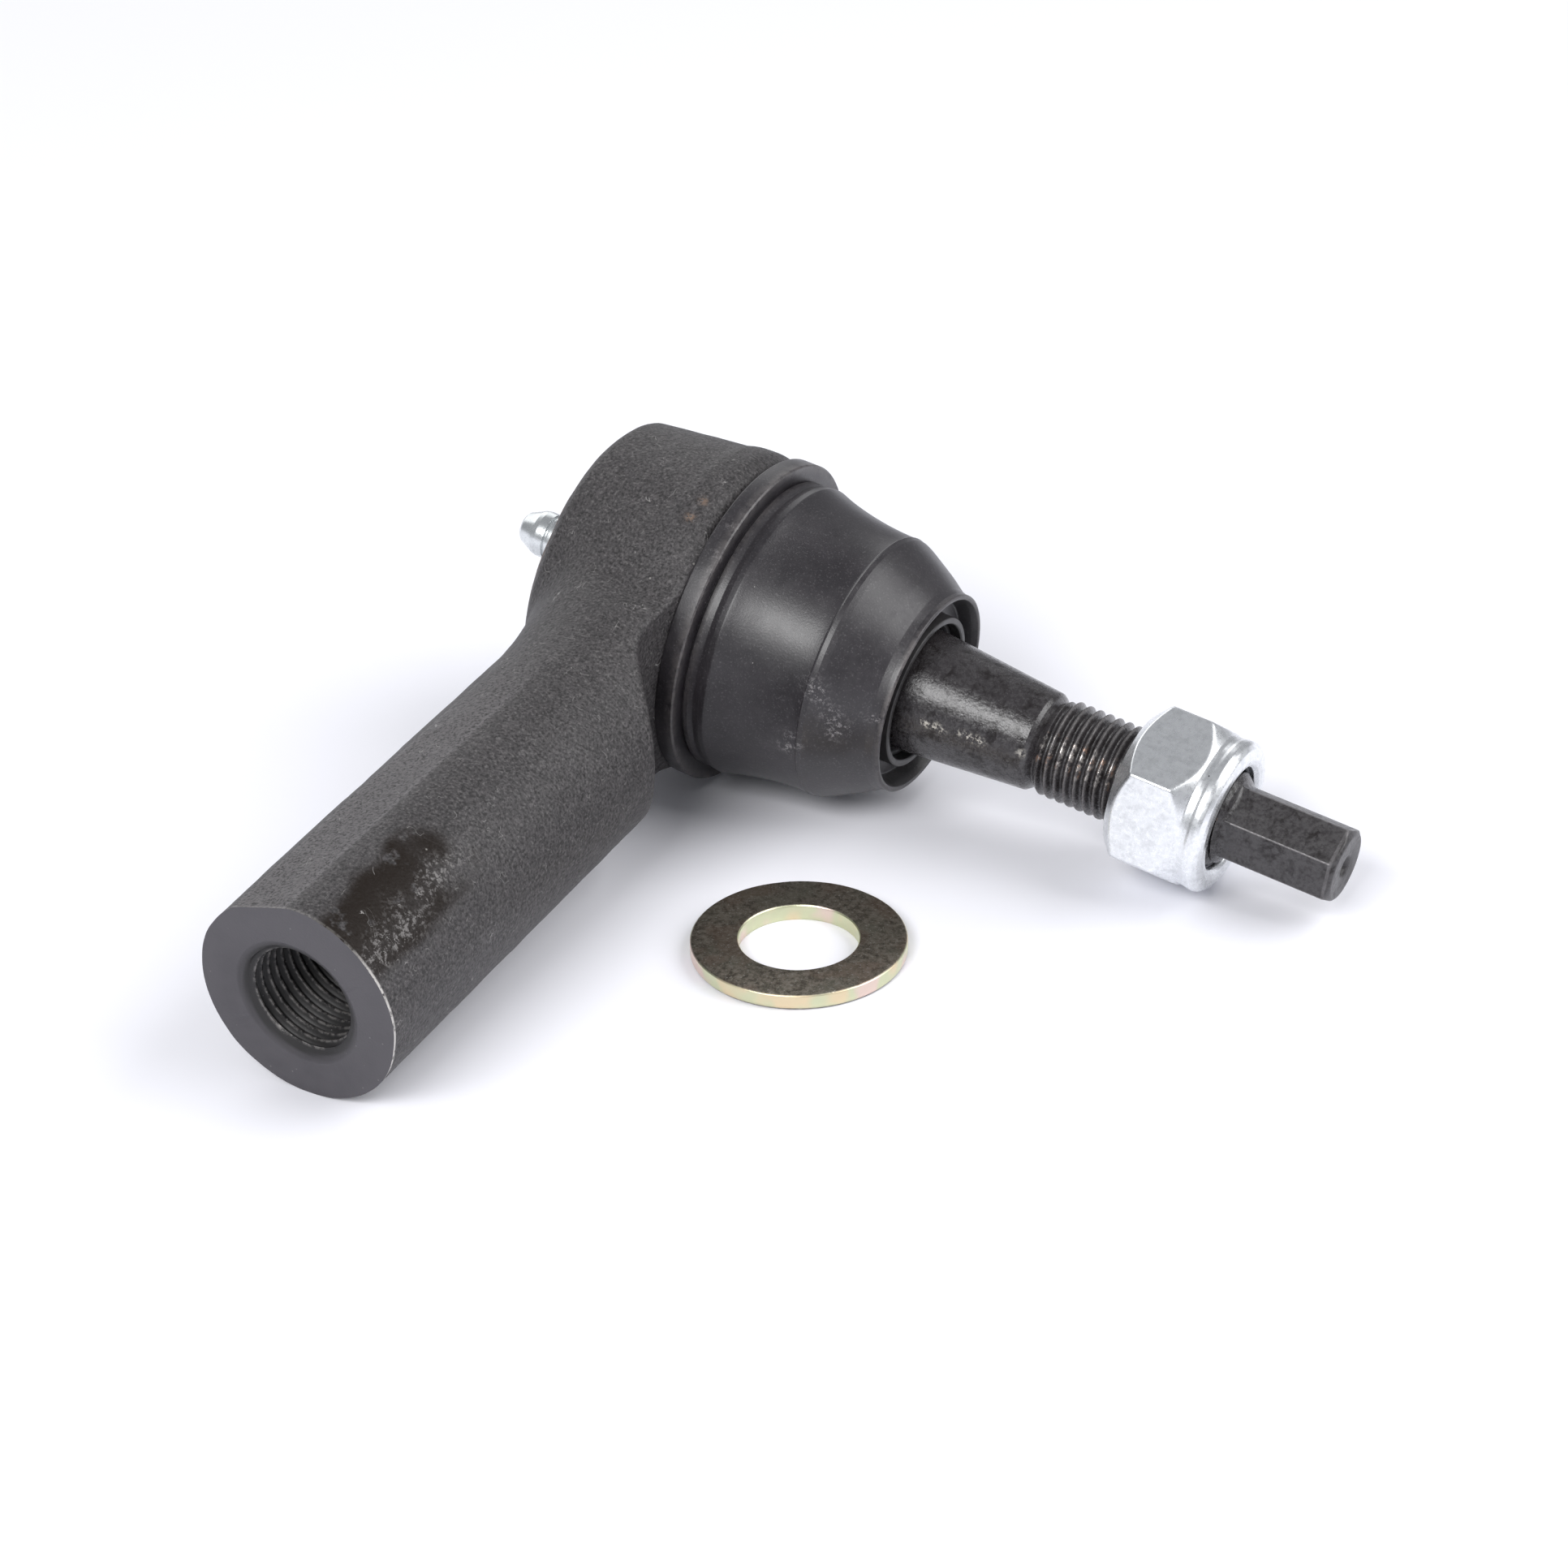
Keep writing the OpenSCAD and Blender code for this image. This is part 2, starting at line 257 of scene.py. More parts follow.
def solid(name, points, faces, weld=1e-4):
    """An object in the joint's own frame, with equal points welded and its faces turned outwards."""
    mesh = bpy.data.meshes.new(name)
    mesh.from_pydata(points, [], faces.tolist())
    bm = bmesh.new()
    bm.from_mesh(mesh)
    bmesh.ops.remove_doubles(bm, verts=bm.verts, dist=weld)
    bmesh.ops.dissolve_degenerate(bm, edges=bm.edges, dist=weld)
    bmesh.ops.recalc_face_normals(bm, faces=bm.faces)
    if bm.calc_volume(signed=True) < 0:
        bmesh.ops.reverse_faces(bm, faces=bm.faces)
    bm.to_mesh(mesh)
    bm.free()
    thing = bpy.data.objects.new(name, mesh)
    bpy.context.scene.collection.objects.link(thing)
    return thing


def turned(name, outline, around=192, gap=1.2):
    """A turned ring from a closed outline of (station, radius, fillet)."""
    line = spaced(rounded(outline, closed=True), gap, True)
    angles = even_turn(around)
    return solid(name, *skin(rows(line, angles), angles, True))


def turned_plug(name, outline, around=192, lay=np.asarray):
    """A turned solid from an open outline that starts and ends on the axis."""
    angles = even_turn(around)
    points, faces = skin(rows(outline, angles), angles)
    return solid(name, lay(points), faces)


def carve(thing, cutters, operation="DIFFERENCE"):
    """Cuts other things out of a thing, or joins them to it, and deletes them."""
    for cutter in cutters:
        tool = thing.modifiers.new("cut", "BOOLEAN")
        tool.operation = operation
        tool.solver = "MANIFOLD"
        tool.object = cutter
    evaluated = thing.evaluated_get(bpy.context.evaluated_depsgraph_get())
    mesh = bpy.data.meshes.new_from_object(evaluated)
    thing.modifiers.clear()
    thing.data = mesh
    for cutter in cutters:
        bpy.data.objects.remove(cutter)


def dented(thing, amount, wavelength, seed):
    """Moves each point along its normal by a smooth random amount."""
    mesh = thing.data
    p = points_of(mesh)
    normals = np.array([v.normal for v in mesh.vertices])
    p += normals * (noise(p, wavelength, seed) * amount)[:, None]
    mesh.vertices.foreach_set("co", p.ravel())
    mesh.update()


def mask(thing, name, values):
    """Stores one value for each point, for a material to read."""
    layer = thing.data.attributes.new(name, "FLOAT", "POINT")
    layer.data.foreach_set("value", np.asarray(values, np.float32))


def finished(thing, body, materials, node, sharp=32):
    """Lays a drawn thing down in place, gives it its looks and lets it ride on its body."""
    mesh = thing.data
    p = points_of(mesh)
    place = mesh.attributes.new("place", "FLOAT_VECTOR", "POINT")
    place.data.foreach_set("vector", p.astype(np.float32).ravel())
    mesh.transform(LAY)
    mesh.materials.clear()
    for material in materials:
        mesh.materials.append(material)
    mesh.polygons.foreach_set("use_smooth", [True] * len(mesh.polygons))
    mesh.set_sharp_from_angle(angle=math.radians(sharp))
    mesh.update()
    if body:
        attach(thing, body)
    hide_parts(node)


# ---- sizes read from the frame

mounts = {m["name"]: m for m in frame["record"]["mounts"]}
bore_start = LIFT @ Vector(mounts["arm_thread"]["pos_m"])
nut_face = stations("nut")[0]
tip_end = stations("ball_stud")[1]
arm_offset = -bore_start.x
arm_end = cad_points("housing")[:, 1].min()
bore_radius = mounts["arm_thread"]["dims"]["r_mm"]
thread_major = mounts["stud_thread"]["dims"]["r_mm"]
BALL_R = 13.5
ARM_R = 14.6
DRUM_FRONT = 2.6
FACET_ANGLE = math.radians(115)
FACET_REACH = 14.28
NUT_FLATS = 22
NUT_THREAD = 10.6
TIP_FLATS = 10
FITTING_FLATS = 8


# ---- looks

class Look:
    """A material under construction. Its textures are laid out in the joint's own millimetres."""

    def __init__(self, name, drawn=True):
        self.material = bpy.data.materials.new(name)
        self.material.use_nodes = True
        self.tree = self.material.node_tree
        self.shader = self.tree.nodes["Principled BSDF"]
        if drawn:
            spot = self.tree.nodes.new("ShaderNodeAttribute")
            spot.attribute_name = "place"
            self.spot = spot.outputs["Vector"]
        else:
            spot = self.tree.nodes.new("ShaderNodeTexCoord")
            self.spot = self.vector("MULTIPLY", spot.outputs["Object"], (1 / MM,) * 3)

    def put(self, value, socket):
        if isinstance(value, bpy.types.NodeSocket):
            self.tree.links.new(value, socket)
        else:
            socket.default_value = value

    def vector(self, operation, *values):
        node = self.tree.nodes.new("ShaderNodeVectorMath")
        node.operation = operation
        for value, socket in zip(values, node.inputs):
            self.put(value, socket)
        return node.outputs["Vector"]

    def math(self, operation, *values):
        node = self.tree.nodes.new("ShaderNodeMath")
        node.operation = operation
        for value, socket in zip(values, node.inputs):
            self.put(value, socket)
        return node.outputs[0]

    def times(self, a, b):
        return self.math("MULTIPLY", a, b)

    def noise(self, size, detail=3, roughness=0.6, stretch=(1, 1, 1), offset=0, distortion=0):
        """Noise whose grains are about size millimetres across."""
        node = self.tree.nodes.new("ShaderNodeTexNoise")
        scaled = self.vector("MULTIPLY", self.spot, tuple(1 / s for s in stretch))
        self.put(self.vector("ADD", scaled, (offset, offset * 0.7, -offset)), node.inputs["Vector"])
        self.put(1 / size, node.inputs["Scale"])
        self.put(detail, node.inputs["Detail"])
        self.put(roughness, node.inputs["Roughness"])
        self.put(distortion, node.inputs["Distortion"])
        return node.outputs["Fac"]

    def cells(self, size, offset=0):
        """Distance to the nearest of many scattered points, from 0 to about 1."""
        node = self.tree.nodes.new("ShaderNodeTexVoronoi")
        self.put(self.vector("ADD", self.spot, (offset,) * 3), node.inputs["Vector"])
        self.put(1 / size, node.inputs["Scale"])
        return node.outputs["Distance"]

    def span(self, value, low, high, to_low=0.0, to_high=1.0):
        """Maps low..high to to_low..to_high, smoothly and without going past either."""
        node = self.tree.nodes.new("ShaderNodeMapRange")
        node.interpolation_type = "SMOOTHSTEP"
        for put, name in ((value, "Value"), (low, "From Min"), (high, "From Max"),
                          (to_low, "To Min"), (to_high, "To Max")):
            self.put(put, node.inputs[name])
        return node.outputs["Result"]

    def broken(self, share, size, low, high, detail=3, roughness=0.6, offset=0):
        """A share that noise breaks up: none of it is left below low, and all of it above high."""
        return self.times(share, self.span(self.noise(size, detail, roughness, offset=offset), low, high))

    def mix(self, share, a, b):
        """Colour a where share is 0 and b where it is 1. A colour is a socket or red, green, blue."""
        node = self.tree.nodes.new("ShaderNodeMix")
        node.data_type = "RGBA"
        self.put(share, node.inputs[0])
        for color, socket in ((a, node.inputs[6]), (b, node.inputs[7])):
            self.put(color + (1,) if isinstance(color, tuple) else color, socket)
        return node.outputs[2]

    def paint(self, share, tone):
        """Lays a tone over the colour so far, fully where share is 1."""
        self.color = self.mix(share, self.color, tone)

    def mask(self, name):
        node = self.tree.nodes.new("ShaderNodeAttribute")
        node.attribute_name = name
        return node.outputs["Fac"]

    def axis(self, index):
        """One coordinate of the place on the joint, in millimetres."""
        node = self.tree.nodes.new("ShaderNodeSeparateXYZ")
        self.put(self.spot, node.inputs[0])
        return node.outputs[index]

    def bump(self, height, depth, under=None):
        """Shading of a height from 0 to 1 that is depth millimetres tall."""
        node = self.tree.nodes.new("ShaderNodeBump")
        self.put(depth * MM, node.inputs["Distance"])
        self.put(height, node.inputs["Height"])
        if under is not None:
            self.put(under, node.inputs["Normal"])
        return node.outputs["Normal"]

    def done(self, **values):
        """The finished material, from the colour so far and the values given."""
        names = {"roughness": "Roughness", "metallic": "Metallic", "normal": "Normal",
                 "coat": "Coat Weight", "coat_roughness": "Coat Roughness",
                 "specular": "Specular IOR Level", "coat_normal": "Coat Normal"}
        self.put(self.color, self.shader.inputs["Base Color"])
        for key, value in values.items():
            self.put(value, self.shader.inputs[names[key]])
        return self.material


def forged_steel():
    """Dark blasted forging with a dry phosphate coat, lint, rust specks and an oil stain."""
    look = Look("forged_steel")
    grain = look.noise(0.42, 3, 0.7)
    coarse = look.noise(1.2, 4, 0.7, offset=7)
    cloud = look.noise(9, 3, 0.55, offset=3)
    pits = look.span(look.cells(0.8, 5), 0.08, 0.45)
    stain = look.broken(look.mask("stain"), 5, 0.33, 0.42, 4, 0.6, 21)
    dust = look.broken(look.mask("dust"), 0.7, 0.5, 0.62, 3, 0.75, 33)
    dust = look.broken(dust, 4, 0.34, 0.5, 2, offset=38)
    look.color = look.mix(look.span(cloud, 0.3, 0.7), (0.0350, 0.0318, 0.0333), (0.0455, 0.0418, 0.0432))
    look.paint(look.span(coarse, 0.42, 0.75), (0.066, 0.060, 0.0625))
    # Painted highlight on the arm's upper facet and its ridge lines.
    look.paint(look.mask("painted_facet_highlight"), (0.115, 0.107, 0.112))
    look.paint(look.span(grain, 0.52, 0.36), (0.010, 0.009, 0.009))
    look.paint(look.times(look.span(grain, 0.52, 0.74), 0.75), (0.145, 0.138, 0.136))
    look.paint(look.times(stain, 0.95), (0.0105, 0.0066, 0.0042))
    look.paint(look.times(dust, 0.75), (0.21, 0.20, 0.196))
    specks = look.broken(look.span(look.cells(3.6, 11), 0.075, 0.03), 6, 0.56, 0.62, 2, offset=17)
    look.paint(specks, (0.26, 0.25, 0.235))
    thread_field = look.noise(3.2, 2, 0.5, offset=41, distortion=0.7)
    lint = look.math("ABSOLUTE", look.math("SUBTRACT", thread_field, 0.5))
    lint = look.broken(look.span(lint, 0.005, 0.0015), 3.1, 0.6, 0.66, 1, offset=55)
    look.paint(look.times(lint, 0.7), (0.36, 0.35, 0.34))
    rust = look.broken(look.mask("rust"), 0.5, 0.42, 0.56, 3, 0.7, 61)
    look.paint(rust, (0.25, 0.165, 0.115))
    edge = look.span(look.axis(1), arm_end + 0.5, arm_end + 0.25)
    wear = look.broken(look.times(edge, look.mask("wear")), 0.7, 0.3, 0.5, 2, offset=71)
    look.paint(wear, (0.58, 0.56, 0.54))
    rough = look.math("SUBTRACT", look.span(coarse, 0.3, 0.7, 0.5, 0.62), look.times(stain, 0.1))
    normal = look.bump(coarse, 0.06)
    normal = look.bump(pits, 0.05, normal)
    normal = look.bump(grain, 0.11, normal)
    return look.done(roughness=rough, normal=normal, metallic=look.times(wear, 0.6),
                     specular=look.span(stain, 0, 1, 0.5, 0.16))


def machined_steel():
    """Faced and threaded surfaces under the same coat, smoother and a little bluer."""
    look = Look("machined_steel")
    around = look.noise(0.5, 3, 0.6, stretch=(6, 1, 6), offset=9)
    cloud = look.noise(4, 3, offset=2)
    look.color = look.mix(look.span(cloud, 0.3, 0.7), (0.056, 0.0525, 0.0595), (0.067, 0.063, 0.0705))
    # Painted shade: the inside of the arm's bore is painted darker.
    look.paint(look.mask("painted_bore_shade"), (0.014, 0.013, 0.0135))
    specks = look.times(look.span(look.cells(1.9, 6), 0.08, 0.03), 0.7)
    look.paint(specks, (0.17, 0.165, 0.165))
    bright = look.broken(look.mask("crest"), 0.8, 0.4, 0.62, 3, 0.7, 4)
    look.paint(bright, (0.20, 0.19, 0.185))
    normal = look.bump(around, 0.018)
    normal = look.bump(look.noise(0.3, 2, 0.6, offset=13), 0.02, normal)
    return look.done(roughness=look.span(cloud, 0.3, 0.7, 0.44, 0.54), normal=normal,
                     metallic=look.times(bright, 0.75), specular=0.45)


def oiled_steel():
    """Black hardened steel with a thin oil film that breaks up the highlight."""
    look = Look("oiled_steel")
    blotch = look.noise(2.2, 4, 0.62, offset=5, distortion=0.5)
    film = look.noise(0.6, 4, 0.7, offset=15)
    look.color = look.mix(look.span(blotch, 0.34, 0.56), (0.014, 0.0115, 0.012), (0.0275, 0.0245, 0.0262))
    nicks = look.broken(look.mask("nicks"), 0.7, 0.5, 0.6, 3, 0.8, 25)
    look.paint(nicks, (0.62, 0.59, 0.53))
    worn = look.times(look.mask("worn"), look.span(look.noise(0.6, 3, 0.7, offset=35), 0.3, 0.6, 0.3, 0.8))
    look.paint(worn, (0.22, 0.21, 0.215))
    crest = look.times(look.mask("crest"), look.span(look.noise(1.1, 3, 0.7, offset=45), 0.3, 0.6, 0.35, 0.9))
    look.paint(crest, (0.15, 0.14, 0.14))
    # Painted highlight along one side of the thread's crests, in copper or white.
    painted_glint = look.broken(look.mask("painted_glint"), 0.8, 0.46, 0.62, 3, 0.7, 65)
    metal_tone = look.mix(look.span(look.noise(1.7, 1, offset=75), 0.5, 0.62), (0.60, 0.56, 0.53),
                          (0.46, 0.29, 0.21))
    look.paint(painted_glint, metal_tone)
    metal = look.math("MAXIMUM", look.math("MAXIMUM", look.times(crest, 0.7), worn),
                      look.math("MAXIMUM", nicks, painted_glint))
    normal = look.bump(film, 0.075)
    normal = look.bump(blotch, 0.03, normal)
    rough = look.math("ADD", look.span(film, 0.38, 0.62, 0.17, 0.34), look.times(look.mask("dry"), 0.2))
    shine = look.times(look.span(blotch, 0.34, 0.5, 0.4, 0.8), look.span(film, 0.36, 0.6, 0.5, 1))
    return look.done(roughness=rough, normal=normal, metallic=look.times(metal, 0.85),
                     specular=shine, coat=0.18, coat_roughness=0.16, coat_normal=normal)


def zinc(name, tone=(0.90, 0.92, 0.94), rough=0.34):
    """Bright zinc plate with a fine crystalline mottle."""
    look = Look(name)
    mottle = look.noise(0.7, 4, 0.72, offset=3)
    fine = look.noise(0.25, 2, 0.6, offset=13)
    dull = tuple(c * 0.88 for c in tone)
    cloud = look.noise(1.5, 5, 0.7, offset=23)
    look.color = look.mix(look.span(mottle, 0.3, 0.72), dull, tone)
    look.paint(look.span(cloud, 0.52, 0.38, 0, 0.22), (0.42, 0.43, 0.44))
    look.paint(look.span(look.cells(3.2, 8), 0.05, 0.025), (0.2, 0.2, 0.2))
    normal = look.bump(fine, 0.003)
    normal = look.bump(mottle, 0.006, normal)
    return look.done(roughness=look.span(mottle, 0.3, 0.7, rough + 0.02, rough - 0.1),
                     metallic=0.92, normal=normal)


def yellow_zinc():
    """Chromated zinc: olive and brown mottle on top, pale gold with a green and pink film at the edges."""
    look = Look("yellow_zinc")
    mottle = look.noise(0.9, 5, 0.75, offset=3)
    patch = look.noise(5, 3, 0.6, offset=19)
    film = look.noise(7, 2, 0.5, offset=29)
    look.color = look.mix(look.span(mottle, 0.32, 0.68), (0.092, 0.078, 0.060), (0.36, 0.32, 0.265))
    look.paint(look.times(look.span(patch, 0.45, 0.7), 0.5), (0.24, 0.235, 0.185))
    brown = look.times(look.span(look.noise(7, 2, offset=43), 0.48, 0.62), 0.4)
    look.paint(brown, (0.24, 0.165, 0.125))
    specks = look.times(look.span(look.noise(0.32, 2, 0.7, offset=47), 0.6, 0.68), 0.6)
    look.paint(specks, (0.62, 0.60, 0.55))
    edge = look.mix(look.span(film, 0.35, 0.5), (0.74, 0.62, 0.42), (0.62, 0.64, 0.44))
    edge = look.mix(look.span(film, 0.52, 0.64), edge, (0.74, 0.60, 0.53))
    look.paint(look.mask("edge"), edge)
    normal = look.bump(look.noise(0.35, 3, 0.7, offset=7), 0.02)
    normal = look.bump(mottle, 0.03, normal)
    return look.done(roughness=look.span(mottle, 0.3, 0.7, 0.42, 0.3), metallic=0.85,
                     normal=normal)


def rubber(name="black_rubber"):
    """Moulded rubber with a satin skin, dusty smears and white scuffs."""
    look = Look(name)
    cloud = look.noise(7, 4, 0.6, offset=2)
    skin_grain = look.noise(0.3, 2, 0.6, offset=12)
    smear = look.noise(2.6, 4, 0.75, stretch=(1, 1.2, 1.2), offset=22)
    look.color = look.mix(look.span(cloud, 0.32, 0.7), (0.0155, 0.0135, 0.0162), (0.0215, 0.0188, 0.0222))
    look.paint(look.span(skin_grain, 0.55, 0.75), (0.06, 0.056, 0.06))
    dusty = look.times(look.mask("dust"), look.span(smear, 0.44, 0.7))
    look.paint(look.times(dusty, 0.2), (0.12, 0.112, 0.12))
    scuff = look.broken(look.mask("scuff"), 0.7, 0.5, 0.62, 4, 0.8, 32)
    look.paint(look.times(scuff, 0.8), (0.30, 0.285, 0.29))
    # Lighter edges: the clamp's front edge and the boot's worn lip, with a painted highlight on the lip's lit side
    # and along the ridge at the boot's root.
    rim_wear_and_highlight = look.broken(look.mask("rim_wear_and_highlight"), 1.4, 0.3, 0.6, 3, 0.7, 42)
    look.paint(look.times(rim_wear_and_highlight, 0.7), (0.17, 0.155, 0.15))
    specks = look.broken(look.span(look.cells(2.6, 9), 0.04, 0.018), 5, 0.5, 0.6, 2, offset=52)
    look.paint(specks, (0.3, 0.29, 0.28))
    rough = look.math("ADD", look.span(cloud, 0.3, 0.7, 0.34, 0.39), look.times(dusty, 0.15))
    normal = look.bump(skin_grain, 0.016)
    normal = look.bump(cloud, 0.04, normal)
    return look.done(roughness=rough, normal=normal, specular=0.64)


def plain(name, color, rough, metallic=0.0, grain=0.02, drawn=True):
    """The look of a small or hidden part. Parts that keep their CAD meshes are not drawn here."""
    look = Look(name, drawn)
    cloud_size, grain_size, shade = (2.2, 0.35, 0.7) if drawn else (2.5, 0.3, 0.75)
    cloud = look.noise(cloud_size, 3, 0.6, offset=3)
    dark = tuple(c * shade for c in color)
    look.color = look.mix(look.span(cloud, 0.3, 0.7), dark, color)
    normal = look.bump(look.noise(grain_size, 3, 0.6, offset=8), grain)
    return look.done(roughness=look.span(cloud, 0.3, 0.7, rough, rough + 0.12), metallic=metallic,
                     normal=normal)


# ---- housing

# The drum's outline is (station, radius); the clearance is (station, place along Y).
DRUM = rounded([(-20.7, 0), (-20.7, 19.2, 1.2), (-19.2, 21.0, 1.5), (-18.4, 21.12, 2), (-7.2, 22.42, 4),
                (-5.2, 22.62, 2), (-3.6, 23.08, 2), (-0.6, 23.18, 2.5), (1.4, 22.5, 2),
                (DRUM_FRONT, 20.8, 0.3), (DRUM_FRONT, 0)])
CLEARANCE = [(DRUM_FRONT, 40), (DRUM_FRONT, -27.8), (2.95, -29.4), (3.7, -30.8), (4.8, -32.1),
             (16.8, -42.9), (45, -46), (45, 40)]


def outline_distance(outline, x, y):
    """Signed distance from points to a closed outline, negative inside it."""
    best = np.full(x.shape, 1e9)
    inside = np.zeros(x.shape, bool)
    for (ax, ay), (bx, by) in zip(outline, np.roll(outline, -1, axis=0)):
        dx, dy = bx - ax, by - ay
        t = np.clip(((x - ax) * dx + (y - ay) * dy) / (dx * dx + dy * dy), 0, 1)
        best = np.minimum(best, np.hypot(x - ax - t * dx, y - ay - t * dy))
        if dy:
            crosses = (ay > y) != (by > y)
            inside ^= crosses & (x < ax + (y - ay) / dy * dx)
    return np.where(inside, -best, best)


def distance_field(outline, xs, ys):
    """A quick signed distance to an outline, read from a table over evenly spaced xs and ys."""
    table = outline_distance(outline, *np.meshgrid(xs, ys, indexing="ij"))
    step_x, step_y = xs[1] - xs[0], ys[1] - ys[0]

    def look_up(x, y):
        u, v = (x - xs[0]) / step_x, (y - ys[0]) / step_y
        i = np.clip(u.astype(int), 0, len(xs) - 2)
        j = np.clip(v.astype(int), 0, len(ys) - 2)
        fu, fv = np.clip(u - i, 0, 1), np.clip(v - j, 0, 1)
        low = table[i, j] * (1 - fv) + table[i, j + 1] * fv
        high = table[i + 1, j] * (1 - fv) + table[i + 1, j + 1] * fv
        return low * (1 - fu) + high * fu
    return look_up


def arm_radius(angle, t):
    """The forged arm is not quite round: it swells at its upper front and is flat at its upper back."""
    degrees = [-180, -150, -130, -105, -20, 0, 16, 42, 68, 84, 93, 99, 114, 131, 150, 180]
    extra = [0, 0.1, 0.2, 0, 0, 0.1, 0.4, 0.65, 0.85, 0.8, 0.6, 0.42, 0.3, 0.28, 0.1, 0]
    swell = np.interp(np.degrees(angle), degrees, extra)
    flare = 55 - np.sqrt(np.maximum(55 ** 2 - np.clip(38 - t, 0, 40) ** 2, 0))
    return ARM_R + flare + swell * smooth_step(t, 30, 92)


def arm_distance(x, y, z, clearance):
    """Signed distance to the arm: a bar with a facet, flared and cut slantwise where it meets the drum."""
    t = -y
    angle = np.arctan2(z, x + arm_offset)
    reach = np.hypot(x + arm_offset, z)
    sides = reach - arm_radius(angle, t)
    flat = (x + arm_offset) * math.cos(FACET_ANGLE) + z * math.sin(FACET_ANGLE) - FACET_REACH
    fade = 6 * (1 - smooth_step(t, 40, 62))
    width = 30 - np.sqrt(np.maximum(30 ** 2 - np.clip(26.74 - t, 0, 29) ** 2, 0)) + 4 * smooth_step(t, 20, 34)
    body = soft_max(sides, flat - fade, 0.15)
    body = soft_max(body, np.abs(z) - ARM_R - width, 2)
    body = soft_max(body, (np.abs(z) * 11.3 - t * 18.87) / 22, 1)
    body = soft_max(body, -19.8 - x, 1.5)
    body = soft_max(body, -clearance(x, y), 0.9)
    return np.maximum(body, y)


def forging_blank(step=0.47):
    """The forging before machining, as points and quads."""
    x, y, z = (np.arange(a, b, step) for a, b in ((-23.1, 15), (arm_end - 2.5, 26), (-26.1, 26.2)))
    grid = np.stack(np.meshgrid(x, y, z, indexing="ij"), -1)
    field = np.empty(grid.shape[:3], np.float32)
    drum = distance_field(DRUM, np.arange(-26, 17, 0.2), np.arange(0, 112, 0.2))
    clearance = distance_field(CLEARANCE, np.arange(-26, 17, 0.2), np.arange(-108, 30, 0.2))
    for i, part in enumerate(grid):
        gx, gy, gz = part[..., 0], part[..., 1], part[..., 2]
        body = soft_min(drum(gx, np.hypot(gy, gz)), arm_distance(gx, gy, gz, clearance), 3.2)
        near = np.abs(body) < 3
        p = part[near]
        rough = 0.07 * noise(p, 7, 1) + 0.045 * noise(p, 2.6, 2) + 0.02 * noise(p, 1.2, 3)
        body[near] += rough
        field[i] = body
    band = 3 * step
    grid = openvdb.FloatGrid(band)
    grid.copyFromArray(np.clip(field, -band, band))
    points, quads = grid.convertToQuads()
    return points * step + np.array([x[0], y[0], z[0]]), quads


def arm_bore():
    """The threaded hole in the arm, with its drill point and its chamfer, as a cutter."""
    angles = even_turn(120)
    end = -arm_end
    start = 58.8

    def trim(x, radius):
        chamfer = bore_radius + np.clip(x - (end - 1.1), 0, None) * 1.9
        radius = soft_max(radius, chamfer, 0.08)
        return np.minimum(radius, 5.8 + (x - start) * 0.9)
    wall = thread(start, end + 1.5, 8.05, 0.8, trim, angles, crest=0.25, samples=8)
    tip = skin(rows([(start - 3.5, 0), (start, 5.8)], angles), angles)
    last = wall[0][-len(angles):]
    mouth_r = math.hypot(last[0, 1], last[0, 2])
    mouth = skin(rows([(end + 1.5, mouth_r), (end + 1.5, 0)], angles), angles)
    points, faces = joined(tip, wall, mouth)
    return solid("arm_bore_cutter", along_arm(points), faces)


def socket_bores():
    """The socket's bore, the seat of its rear cover and its opening for the stud, as a cutter."""
    outline = [(-24, 0), (-24, 16.9), (-19.8, 16.9), (-19.8, 18.2), (-17, 18.2), (-17, 16.2), (8, 16.2),
               (8, 12.5), (10.62, 14), (12, 14), (12, 0)]
    return turned_plug("socket_cutter", outline)


def end_plane():
    """What lies past the arm's end face, as a cutter."""
    outline = [(-arm_end, 0), (-arm_end, 40), (-arm_end + 10, 40), (-arm_end + 10, 0)]
    return turned_plug("end_cutter", outline, 64, along_arm)


def collar():
    """The machined collar that the boot's root sits on."""
    outline = [(0, 0), (0, 19.2), (9.9, 19.2), (10.5, 18.6), (10.5, 0)]
    return turned_plug("collar_joiner", outline)


